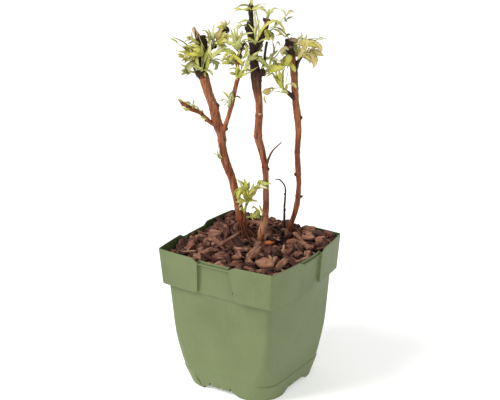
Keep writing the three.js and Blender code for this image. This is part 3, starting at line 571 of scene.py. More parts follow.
@dataclass(frozen=True)
class LeafSkin:
    """The upper and lower skin of a leaf, with veins, a paler midrib, and painted shade and light mixed
    into each leaf's own colour.
    """

    rib: ClassVar[str] = "d4dba6"
    name: str
    base: str
    tip: str
    other: str
    shadow: str

    def material(self) -> Material:
        """The finish as a material."""
        shader = Shader(self.name)
        along, edge, deal = shader.value("along"), shader.value("edge"), shader.value("deal")
        vein = (along * 52 - edge * 9).sine()
        blotch = shader.noise(shader.place(), 240, 3)
        skin = shader.mix(along, self.base, self.tip)
        # Painted shade and light with the leaf's own colour: each leaf is mixed towards the paler colour
        # when its deal is high and towards the shadow colour when it is low.
        skin = shader.mix(deal.step(0.5, 0.95) * 0.8, skin, self.other)
        skin = shader.mix((1 - deal.step(0.06, 0.4)) * 0.6, skin, self.shadow)
        skin = shader.mix(blotch.step(0.48, 0.72) * 0.35, skin, self.other)
        skin = shader.mix((1 - edge.step(0.02, 0.2)) * 0.4, skin, self.rib)
        return shader.finish(
            Base_Color=skin,
            Roughness=0.5 + 0.18 * blotch,
            Normal=shader.bump(0.5 * vein + edge, 0.0005, 0.6),
            Specular_IOR_Level=0.25,
        )


@dataclass(frozen=True)
class StalkSkin:
    """Soft stalks, pale green with a flush of pink."""

    green: str = "a9b86a"
    flush: str = "b28a62"
    woody: str = "4a2f24"

    def material(self) -> Material:
        """The finish as a material."""
        shader = Shader("leaf_stalk")
        hairs = shader.noise(shader.place((1, 1, 0.3)), 900, 3)
        patch = shader.noise(shader.place(), 120, 2)
        base = shader.mix(patch.step(0.45, 0.7) * 0.6, self.green, self.flush)
        base = shader.mix(shader.value("woody"), base, self.woody)
        return shader.finish(
            Base_Color=base,
            Roughness=0.55 + 0.2 * hairs,
            Normal=shader.bump(hairs, 0.0003, 0.6),
        )


@dataclass(frozen=True)
class StageFinish:
    """Plain pale floor."""

    tone: str = "f4f4f2"
    glow: float = 0.4

    def material(self) -> Material:
        """The finish as a material."""
        shader = Shader("floor")
        return shader.finish(Base_Color=self.tone, Roughness=0.9, Emission_Color="ffffff",
                             Emission_Strength=self.glow)


# Pot.
def quarter(side: int, x: float, y: float) -> Pair:
    """A place turned by quarter turns, from a side's own frame to the pot's."""
    turn = side * pi / 2
    c, s = cos(turn), sin(turn)
    return x * c - y * s, x * s + y * c


@dataclass
class Pot:
    """Square nursery pot: tapered body on four feet, a deep band with four label panels."""

    height: float = 156.0
    wall: float = 1.3
    # Height, half width and corner radius, from the ground up.
    profile: tuple[Point, ...] = (
        (0.0, 54.2, 30.0), (0.6, 54.8, 30.0), (18.4, 57.75, 22.2), (19.0, 57.85, 22.0),
        (19.4, 57.7, 22.0), (19.8, 57.35, 22.0), (27.0, 58.0, 18.3), (36.0, 58.6, 15.0),
        (47.0, 59.6, 11.8), (58.0, 60.4, 9.5), (72.0, 61.15, 8.0), (86.0, 61.7, 7.0),
        (100.0, 62.4, 6.4), (115.3, 63.3, 6.0), (115.55, 64.0, 5.5), (116.2, 66.4, 4.4),
        (116.45, 67.1, 4.0), (116.8, 67.5, 3.7), (117.4, 67.7, 3.5), (146.5, 69.44, 2.8),
        (156.0, 70.0, 2.5),
    )
    bow_start: float = 36.0
    # Outward bow in the middle of each side at the rim: +Y, -X, -Y, +X.
    bows: tuple[float, ...] = (2.0, 4.5, 3.5, 7.0)
    arc_steps: int = 14
    band_base: float = 116.0
    panel_depth: float = 2.8
    groove: float = 0.6
    panel_low: float = 21.0
    panel_high: float = 18.0
    panel_corner: float = 4.0
    panel_top: float = 154.0
    dip: float = 4.0
    dip_reach: float = 7.5
    # The panel's edge nearer the next corner on side -Y leans out: more at its head, at its foot.
    lean_side: int = 2
    lean: Pair = (1.3, 3.6)
    notch_half: float = 19.0
    notch_high: float = 4.2
    notch_step: float = 1.2
    notch_end: float = 24.0
    notch_shift: tuple[float, ...] = (0.0, 0.0, 3.5, -1.0)
    slot_half: float = 1.0
    slot_high: float = 1.6
    slots: Point = (-13.0, 0.0, 13.0)
    skirt: float = 3.0
    underside: float = 5.5
    floor: float = 7.5
    # The bar across a panel: its foot, its head, how far it lies in and how deep it is.
    bar: tuple[float, ...] = (149.4, 151.2, 0.5, 2.4)
    # Heights where the band has its full width, where a side's columns start to follow its panel,
    # where the foot's notches end and where the rim's dips start.
    shoulder: float = 117.4
    bare_top: float = 100.0
    foot_end: float = 10.0
    rim_start: float = 140.0

    def half(self, z: float) -> float:
        """Half width of the outside at a height."""
        heights, halves, _ = zip(*self.profile)
        return float(np.interp(z, heights, halves))

    def corner(self, z: float) -> float:
        """Corner radius of the outside at a height."""
        heights, _, corners = zip(*self.profile)
        return float(np.interp(z, heights, corners))

    def panel_edge(self, z: float) -> float:
        """Half width of a label panel at a height, wider at its rounded foot."""
        if z <= self.bare_top:
            return self.notch_half
        share = np.clip((z - self.band_base) / (self.height - self.band_base), 0, 1)
        edge = self.panel_low + (self.panel_high - self.panel_low) * share
        rest = self.panel_corner - np.clip(z - self.band_base, 0, self.panel_corner)
        return float(edge + (self.panel_corner - sqrt(max(self.panel_corner ** 2 - rest ** 2, 0))))

    def columns(self, z: float) -> list[float]:
        """Places along half a side at a height, from its middle to where the corner starts."""
        edge = self.panel_edge(z)
        fixed = [0, 0.7, 1.3, 6.5, 11.7, 12.3, 13, 13.7, 14.3]
        near = [edge - 1.0, edge - 0.3, edge + 0.3, edge + 1.0]
        start, end = edge + 1.0, self.half(z) - self.corner(z)
        shares = [0.02, 0.045, 0.07, 0.1, 0.13, 0.18, 0.3, 0.45, 0.6, 0.75, 0.88]
        return fixed + near + [start + (end - start) * share for share in shares]

    def outward(self, side: int, along: float, z: float) -> float:
        """How far out the outer face of a side is, at a place along it."""
        half, corner = self.half(z), self.corner(z)
        share = min(abs(along) / max(half - corner, 1), 1)
        rise = np.clip((z - self.bow_start) / (self.height - self.bow_start), 0, 1.1)
        bow = self.bows[side] * rise * (1 - share * share)
        out = half + bow
        if z > self.band_base:
            inner = self.half(max(z, self.shoulder)) + bow - self.panel_depth
            edge = self.panel_edge(z)
            inside = 1 - ease(edge - 0.3, edge + 0.3, abs(along))
            groove = self.groove * ease(self.band_base + 5, self.band_base + 9, z)
            inner -= groove * exp(-((abs(along) - edge + 1.0) / 0.6) ** 2)
            out = min(out, inner) * inside + out * (1 - inside)
        return float(out)

    def slid(self, side: int, along: float, z: float) -> float:
        """How far a ring's point slides along its side, for the leaning panel edge and the notches."""
        place = abs(along)
        move = self.notch_shift[side] * (1 - ease(26, 46, place)) * (1 - ease(10, 24, z))
        if side == self.lean_side and along < 0:
            heights = (self.bare_top, self.band_base, self.height)
            lean = float(np.interp(z, heights, (0, self.lean[1], self.lean[0])))
            move -= lean * ease(6, 18, place) * (1 - ease(24, 44, place))
        return move

    def lifted(self, along: float, z: float) -> float:
        """Height of a ring at a place along a side, over the foot notch and under the rim's dips."""
        place = abs(along)
        if z < self.foot_end:
            inner = self.notch_half - 1.5
            slope = np.clip((self.notch_end - place) / (self.notch_end - inner), 0, 1)
            notch = (self.notch_high - self.notch_step) * float(slope)
            notch += self.notch_step * (1 - ease(inner - 0.4, inner + 0.4, place))
            for slot in self.slots:
                away = abs(place - abs(slot))
                notch += self.slot_high * (1 - ease(self.slot_half - 0.3, self.slot_half + 0.3, away))
            return notch + z * (self.foot_end - notch) / self.foot_end
        if z > self.rim_start:
            high = self.panel_high
            fall = self.dip * (1 - ease(high - 0.8, high + self.dip_reach + 1, place))
            if place < self.panel_edge(z):
                fall = self.height - self.panel_top
            return z - fall * (z - self.rim_start) / (self.height - self.rim_start)
        return z

    def ring(self, z: float, inset: float, level: float | None = None) -> Array:
        """Closed ring of points round the pot.

        Args:
            z: the height that gives the ring its outline.
            inset: how far it lies inside the outer face.
            level: the height that it is drawn at, or None for its own.

        Returns:
            The points, one row each.
        """
        half, radius = self.half(z), self.corner(z)
        inner_radius = max(radius - inset, 0.6)
        columns = self.columns(z)
        places = [-c for c in columns[:0:-1]] + columns
        points = []
        for side in range(4):
            local = []
            centre = half - inset - inner_radius
            for i in range(self.arc_steps + 1):
                angle = i / self.arc_steps * pi / 2
                local.append((centre + inner_radius * cos(angle),
                              centre + inner_radius * sin(angle), z if level is None else level))
            for along in places[::-1]:
                height = self.lifted(along, z) if level is None else level
                shrunk = along * (centre / max(half - radius, 1)) if abs(along) > columns[12] else along
                shrunk += self.slid(side, along, z) if level is None else 0.0
                local.append((shrunk, self.outward(side, along, z) - inset, height))
            points.extend((*quarter(side, x, y), h) for x, y, h in local)
        return np.array(points)

    def limit(self, x: float, y: float, z: float, clear: float) -> Pair:
        """The place nearest to one that keeps clear of the inner wall.

        Args:
            x: where the point is.
            y: where the point is.
            z: its height.
            clear: how far it has to stay from the wall.

        Returns:
            The place that it moves to.
        """
        for side in range(4):
            along, out = quarter(-side, x, y)
            height = min(max(z, self.shoulder + 0.1), self.height)
            room = self.outward(side, along, height) - self.wall - clear
            if out > room:
                x, y = quarter(side, along, room)
        return x, y

    def build(self) -> Mesh:
        """The whole pot as one closed skin, with a bar across each label panel."""
        parts = Parts("inside")
        outer = [0.0, 0.6, 1.6, 3.0, 5.0, 7.0, 9.0, 11.0, 14.0, 16.5, 18.4, 19.0, 19.4, 19.8, 21.5]
        outer += [*np.arange(24.5, 112, 3.5), 113.5, 115.3, 115.55, 116.2, 116.45, 116.8, 117.4, 118.2]
        outer += [119.0, 120.0, 122.0, *np.arange(125.0, 149, 3), 149.5, 151, 152.5, 154, 155, 155.6]
        inner = [155.6, 154.5, 152, 149, 145, 138, 130, 124, 120, 118.5, 115, 100, 86, 58, 36, 20, 10]
        rings = [self.ring(self.underside, self.skirt, self.underside), self.ring(0.6, self.skirt),
                 self.ring(0.0, self.skirt * 0.9)]
        rings += [self.ring(z, 0.0) for z in outer]
        rings += [self.ring(155.9, 0.25), self.ring(156.0, self.wall / 2),
                  self.ring(155.9, self.wall - 0.25)]
        outside = len(rings) - 1
        rings += [self.ring(z, self.wall) for z in inner]
        rings += [self.ring(self.floor + 1, self.wall + 1, self.floor)]
        around = len(rings[0])
        points = np.vstack([*rings, [[0, 0, self.underside]], [[0, 0, self.floor]]])
        # Painted shade: from the rim's inner edge down the inside, and the underside ring, are marked
        # inside for the darker green.
        inside = np.zeros(len(points))
        inside[outside * around:] = 1
        inside[:around] = 1
        parts.add(points, capped_faces(len(rings), around), inside=inside)
        for side in range(4):
            self._bar(parts, side)
        return parts.mesh("pot", crease=radians(34))

    def _bar(self, parts: Parts, side: int) -> None:
        """Add the bar across one side's label panel."""
        low, high, inset, deep = self.bar
        spans, half = 16, self.panel_high + 1.2
        thick, bevel = high - low, 0.25
        section = [(0.0, bevel), (bevel, 0.0), (deep - bevel, 0.0), (deep, bevel),
                   (deep, thick - bevel), (deep - bevel, thick), (bevel, thick), (0.0, thick - bevel)]
        points = []
        for i in range(spans + 1):
            along = half - 2 * half * i / spans
            share = along / (self.half(150) - self.corner(150))
            out = self.half(150) + self.bows[side] * 0.95 * (1 - share * share) - inset
            for back, up in section:
                points.append((*quarter(side, along, out - back), low + up))
        around = len(section)
        faces = [tuple(reversed(face)) for face in grid_faces(spans + 1, around)]
        faces.append(tuple(range(around)))
        faces.append(tuple(reversed(range(spans * around, (spans + 1) * around))))
        parts.add(np.array(points), faces, inside=0.0)


# Bed.
@dataclass(frozen=True)
class Layer:
    """How one layer of flakes is dealt: millimetres apart, sizes, tilt, lift and seed."""

    spacing: float
    smallest: float
    largest: float
    tilt: float
    lift: Pair
    seed: int


@dataclass(frozen=True)
class Marked:
    """A flake that catches the eye, at its own place on the bed."""

    x: float
    y: float
    long: float
    wide: float
    turn: float
    lean: float = 0.0
    roll: float = 0.0
    lift: float = 2.5
    tint: float = 0.8
    warm: float = 0.0
    thick: float = 2.2


@dataclass
class Bed:
    """The filling of the pot: a dome of compost under a loose heap of bark flakes."""

    pot: Pot
    edge: float = 146.0
    rise: float = 5.6
    back_rise: float = 4.4
    under: float = 124.0
    clear: float = 0.45
    kinds: int = 12
    seed: int = 41
    layers: tuple[Layer, ...] = (
        Layer(4.6, 0.35, 0.8, 1.1, (-1.2, 1.6), 7),
        Layer(7.2, 0.7, 1.3, 0.85, (0.2, 3.2), 19),
        Layer(11.5, 1.1, 1.65, 0.72, (2.2, 4.6), 31),
    )
    # A row for each marked flake, in the order of its fields.
    marked: tuple[tuple[float, ...], ...] = (
        (22, 0, 11, 8, 30, 0, 12, 6, 0.75, 1.0), (24, 12, 11, 1.6, -17, 4, 0, 6.6, 1.6, 0, 1.2),
        (25, 14, 7, 1.3, 90, 0, 0, 7, 1.6, 0, 1.1), (2, -28, 18, 5, 21, 0, 24, 6.4, 1.3),
        (17, -13, 10, 9, 10, 0, 12, 6.8, 0.8, 0, 6.0), (22, -28, 25, 8.5, 85, -12, 24, 7, 0.95, 0, 3.2),
        (47, -46, 19, 16, 50, 0, 22, 6.2, 1.05, 0.12, 4.4),
        (58, -33, 25, 8.5, 92, -6, 18, 5.8, 0.9, 0, 3), (-14, -20, 35, 5.4, 72, -16, 0, 9.6, 0.75),
        (-40, -54, 17, 2.6, 42, 0, 0, 6.4, 1.4, 0, 1.4), (-32, -47, 10, 2.4, 70, 0, 0, 7, 1.3, 0, 1.3),
        (-44, -4, 17, 13, 20, 0, 30, 7.4, 0.95, 0, 5), (50, 34, 16, 10, 15, 0, 24, 7, 0.95, 0, 5),
        (62, 38, 15, 12, 60, 0, 28, 6.4, 0.9, 0.1, 3), (61, 17, 12, 9, 80, 0, 20, 6, 0.8, 0, 2.6),
        (44, -6, 11, 2.6, -63, 20, 0, 7.8, 1.5, 0, 1.4), (43, -30, 11, 2.8, -43, 12, 0, 7, 1.2, 0, 1.6),
        (38, -14, 15, 4.4, -40, 0, 58, 6.8, 0.3, 0, 1.8),
        (34, -18, 15, 4.4, -44, 0, 54, 6.6, 0.42, 0, 1.8),
        (12, -42, 19, 8, -47, 0, 30, 6.6, 0.75, 0, 2.6), (-54, -30, 21, 9, 100, 0, 20, 6, 0.45),
        (-32, -36, 17, 8, 90, 0, 24, 6.4, 0.6), (18, -58, 13, 8, 60, 0, 22, 6, 0.6),
        (61, -4, 14, 8, 90, 0, 18, 6, 0.7), (42, 14, 12, 8.5, 36, 0, 22, 6.4, 0.8, 0.15),
        (38, 56, 16, 10, 30, 4, 22, 6.2, 0.86), (-50, 20, 16, 9, 55, 0, 22, 5.8, 0.86),
        (10, 60, 15, 8, 15, 0, 20, 6.8, 0.6), (-12, 62, 14, 8, -10, 0, 18, 6.4, 0.5),
        (-40, 42, 15, 8, 40, 0, 16, 6, 0.63), (-6, -52, 15, 8, 10, 0, 26, 6, 0.55),
        (34, -60, 13, 7, 20, 0, 20, 5.6, 0.7),
    )
    corners: int = 8
    # A flake whose middle lies deeper than this is on the block's sides.
    buried: float = 3.2
    reach: float = 68.0
    steps: int = 64
    # A mound at the back and a dip in a corner: x, y, how far it spreads along each, and rise.
    mounds: tuple[tuple[float, ...], ...] = ((6, 60, 26, 16, 1.6), (-62, -62, 16, 18, -2.6))
    # Hollows between the canes where the near-black compost shows, as painted shade where the canes'
    # shadows fall: x, y, radius.
    shadow_hollows: tuple[Point, ...] = (
        (-7, 17, 8), (8, 31, 7), (26, 24, 7), (2, 14, 5), (48, 4, 4), (30, 8, 4),
        (3, 41, 5), (14, 42, 4), (-18, 34, 5))

    def top(self, x: float, y: float) -> float:
        """Height of the compost at a place."""
        out = max(abs(x), abs(y)) / self.reach
        level = self.edge + self.rise * (1 - out * out)
        level += self.back_rise * ease(-30, 62, y + 0.25 * x)
        for a, b, wide, deep, rise in self.mounds:
            level += rise * exp(-((x - a) / wide) ** 2 - ((y - b) / deep) ** 2)
        # Painted shade: the compost sinks at the hollows under the canes' shadows.
        level -= sum(2.5 * exp(-((x - a) ** 2 + (y - b) ** 2) / r ** 2) for a, b, r in self.shadow_hollows)
        return level + 1.3 * rough(np.array([x, y, 0.0]), 15)

    def compost(self) -> Mesh:
        """The compost as a closed block with a crumbly top."""
        parts = Parts()
        steps = self.steps
        ticks = np.linspace(-self.reach, self.reach, steps + 1)
        points = []
        for y in ticks:
            for x in ticks:
                px, py = self.pot.limit(x, y, self.edge, self.clear)
                points.append((px, py, self.top(px, py) - 1.0))
        rows = steps + 1
        faces = []
        for i in range(steps):
            for j in range(steps):
                a = i * rows + j
                faces.append((a, a + 1, a + rows + 1, a + rows))
        rim = list(range(steps)) + [i * rows + steps for i in range(steps)]
        rim += [steps * rows + j for j in range(steps, 0, -1)] + [i * rows for i in range(steps, 0, -1)]
        first = len(points)
        for i in rim:
            x, y = self.pot.limit(points[i][0], points[i][1], self.under, self.clear)
            points.append((x, y, self.under))
        points.append((0, 0, self.under))
        count = len(rim)
        for k in range(count):
            n = (k + 1) % count
            faces.append((rim[n], rim[k], first + k, first + n))
            faces.append((first + n, first + k, first + count))
        parts.add(np.array(points), faces)
        return parts.mesh("compost")

    def slab(self, dice: Dice, long: float, wide: float, thick: float) -> tuple[Array, Faces]:
        """Points and faces of one flake: an uneven slab with broken edges.

        Args:
            dice: what deals its outline.
            long: its length.
            wide: its width.
            thick: its thickness.

        Returns:
            The points about its middle, and the faces.
        """
        around = self.corners
        outline = []
        for i in range(around):
            angle = 2 * pi * i / around + dice.between(-0.3, 0.3)
            c, s = cos(angle), sin(angle)
            stretch = dice.between(0.6, 1.1) / max(abs(c) ** 3 + abs(s) ** 3, 0.1) ** (1 / 3)
            outline.append((c * stretch * long / 2, s * stretch * wide / 2))
        bend = dice.between(-0.02, 0.02)
        cup = dice.between(-0.03, 0.03)
        points = []
        for height, size in ((-0.5, 0.8), (-0.22, 1.0), (0.28, 0.97), (0.5, 0.8)):
            for x, y in outline:
                z = height * thick * dice.between(0.72, 1.22) + bend * x * x * 0.5 + cup * y * y
                points.append((x * size, y * size * dice.between(0.92, 1.05), z))
        points += [(0, 0, -0.5 * thick), (dice.between(-2, 2), dice.between(-1, 1), 0.55 * thick)]
        return np.array(points), capped_faces(4, around)

    def flake(self, dice: Dice, name: str, narrow: bool) -> Object:
        """One kind of flake, out of the scene, for the tree to deal out.

        Args:
            dice: what deals its sizes.
            name: its name.
            narrow: whether it is a stick.

        Returns:
            The new object.
        """
        long = dice.between(15, 22) if narrow else dice.between(10, 18)
        wide = dice.between(2.2, 3.6) if narrow else dice.between(5, 10.5)
        points, faces = self.slab(dice, long, wide, dice.between(1.4, 3.2))
        parts = Parts()
        parts.add(points, faces)
        mesh = parts.mesh(name, smooth=False)
        add_grain(mesh, points * MM)
        return bpy.data.objects.new(name, mesh)

    def tree(self) -> NodeTree:
        """The nodes that deal the flakes over the compost."""
        tree = bpy.data.node_groups.new("flakes_over_bed", "GeometryNodeTree")
        kinds = {"Bed": "Geometry", "Flakes": "Collection", "Spacing": "Float", "Smallest": "Float",
                 "Largest": "Float", "Tilt": "Float", "Lift Low": "Float", "Lift High": "Float",
                 "Seed": "Int", "Finish": "Material"}
        for name, kind in kinds.items():
            tree.interface.new_socket(name, in_out="INPUT", socket_type=f"NodeSocket{kind}")
        tree.interface.new_socket("Heap", in_out="OUTPUT", socket_type="NodeSocketGeometry")

        def add(kind: str, output: int | str, inputs: dict, **settings: str) -> NodeSocket:
            """Add a node and give the one of its outputs that is used."""
            return add_node(tree, kind, settings, inputs).outputs[output]

        def dealt(low: NodeSocket | float, high: NodeSocket | float, seed: int) -> NodeSocket:
            """A random number between two limits for each flake."""
            return add("FunctionNodeRandomValue", 1, {2: low, 3: high, "Seed": seed}, data_type="FLOAT")

        given = add_node(tree, "NodeGroupInput").outputs
        points = add("GeometryNodeDistributePointsOnFaces", "Points", {
            "Mesh": given["Bed"], "Distance Min": given["Spacing"], "Density Max": 120000.0,
            "Seed": given["Seed"]}, distribute_method="POISSON")
        shapes = add("GeometryNodeCollectionInfo", 0, {
            "Collection": given["Flakes"], "Separate Children": True, "Reset Children": True})
        lean = add("ShaderNodeCombineXYZ", 0, {"X": given["Tilt"], "Y": given["Tilt"], "Z": pi})
        back = add("ShaderNodeVectorMath", 0, {0: lean, "Scale": -1.0}, operation="SCALE")
        angles = add("FunctionNodeRandomValue", 0, {0: back, 1: lean, "Seed": given["Seed"]},
                     data_type="FLOAT_VECTOR")
        turn = add("FunctionNodeEulerToRotation", 0, {0: angles})
        heap = add("GeometryNodeInstanceOnPoints", 0, {
            "Points": points, "Instance": shapes, "Pick Instance": True, "Rotation": turn,
            "Scale": dealt(given["Smallest"], given["Largest"], 11)})
        lift = add("ShaderNodeCombineXYZ", 0, {"Z": dealt(given["Lift Low"], given["Lift High"], 17)})
        heap = add("GeometryNodeTranslateInstances", 0, {
            "Instances": heap, "Translation": lift, "Local Space": False})
        heap = add("GeometryNodeStoreNamedAttribute", 0, {
            "Geometry": heap, "Name": "tint", "Value": dealt(0.0, 1.0, 23)},
            data_type="FLOAT", domain="INSTANCE")
        heap = add("GeometryNodeRealizeInstances", 0, {"Geometry": heap})
        heap = add("GeometryNodeSetMaterial", 0, {"Geometry": heap, "Material": given["Finish"]})
        add_node(tree, "NodeGroupOutput", None, {"Heap": heap})
        return tree

    def flakes(self, bed: Mesh, finish: Material) -> Mesh:
        """The heap of flakes as a plain mesh that keeps clear of the pot's wall.

        Args:
            bed: the compost that they lie on.
            finish: their material.

        Returns:
            The new mesh.
        """
        dice = Dice(self.seed)
        store = bpy.data.collections.new("flakes")
        for i in range(self.kinds):
            store.objects.link(self.flake(dice, f"flake_{i:02d}", narrow=i % 4 == 3))
        carrier = stand("flake_carrier", bed.copy())
        tree = self.tree()
        items = tree.interface.items_tree
        sockets = {item.name: item.identifier for item in items if item.in_out == "INPUT"}
        settled = Parts("tint", "warm")
        grains: list[Array] = []
        for layer in self.layers:
            modifier = carrier.modifiers.new("flakes", "NODES")
            modifier.node_group = tree
            sizes = {"Spacing": layer.spacing * MM, "Smallest": layer.smallest, "Largest": layer.largest,
                     "Tilt": layer.tilt, "Lift Low": layer.lift[0] * MM, "Lift High": layer.lift[1] * MM,
                     "Seed": layer.seed, "Flakes": store, "Finish": finish}
            for name, value in sizes.items():
                modifier[sockets[name]] = value
            graph = bpy.context.evaluated_depsgraph_get()
            mesh = bpy.data.meshes.new_from_object(carrier.evaluated_get(graph))
            carrier.modifiers.remove(modifier)
            self._settle(mesh, settled, grains)
            bpy.data.meshes.remove(mesh)
        bpy.data.objects.remove(carrier)
        for item in list(store.objects):
            bpy.data.objects.remove(item)
        bpy.data.collections.remove(store)
        for row in self.marked:
            self._mark(Marked(*row), dice, settled, grains)
        mesh = settled.mesh("bark_flakes", smooth=False)
        add_grain(mesh, np.vstack(grains))
        return mesh

    def _settle(self, mesh: Mesh, settled: Parts, grains: list[Array]) -> None:
        """Take over a layer's flakes, apart from those on the block's sides and those in the hollows kept
        bare as painted shade, inside the wall.
        """
        count, per = len(mesh.vertices), 4 * self.corners + 2
        points, grain, tints = np.empty(count * 3), np.empty(count * 3), np.empty(count)
        mesh.vertices.foreach_get("co", points)
        mesh.attributes["grain"].data.foreach_get("vector", grain)
        mesh.attributes["tint"].data.foreach_get("value", tints)
        faces = [tuple(p.vertices) for p in mesh.polygons if p.vertices[0] < per]
        rows = grain.reshape(-1, per, 3)
        for i, piece in enumerate(points.reshape(-1, per, 3) / MM):
            middle = piece.mean(axis=0)
            # Painted shade: no flakes in the hollows, so the near-black compost shows there.
            sunk = any(hypot(middle[0] - x, middle[1] - y) < r for x, y, r in self.shadow_hollows)
            if middle[2] > self.top(middle[0], middle[1]) - self.buried and not sunk:
                for row in piece:
                    row[0], row[1] = self.pot.limit(row[0], row[1], row[2], self.clear)
                settled.add(piece, faces, tint=tints[i * per])
                grains.append(rows[i])

    def _mark(self, marked: Marked, dice: Dice, settled: Parts, grains: list[Array]) -> None:
        """Lay one marked flake."""
        points, faces = self.slab(dice, marked.long, marked.wide, marked.thick)
        angles = ((marked.turn, "Z"), (marked.lean, "Y"), (marked.roll, "X"))
        turn, lean, roll = (Matrix.Rotation(radians(angle), 3, axis) for angle, axis in angles)
        laid = points @ np.array(turn @ lean @ roll).T
        laid += (marked.x, marked.y, self.top(marked.x, marked.y) + marked.lift)
        for row in laid:
            row[0], row[1] = self.pot.limit(row[0], row[1], row[2], self.clear)
        settled.add(laid, faces, tint=marked.tint, warm=marked.warm)
        grains.append(points * MM)


# Limbs.
@dataclass(frozen=True)
class Bud:
    """A bud or knob on a limb: height, turn about it in degrees, length, radius and rise."""

    height: float
    turn: float
    length: float
    radius: float
    rise: float = 45.0
    pale: float = 0.0


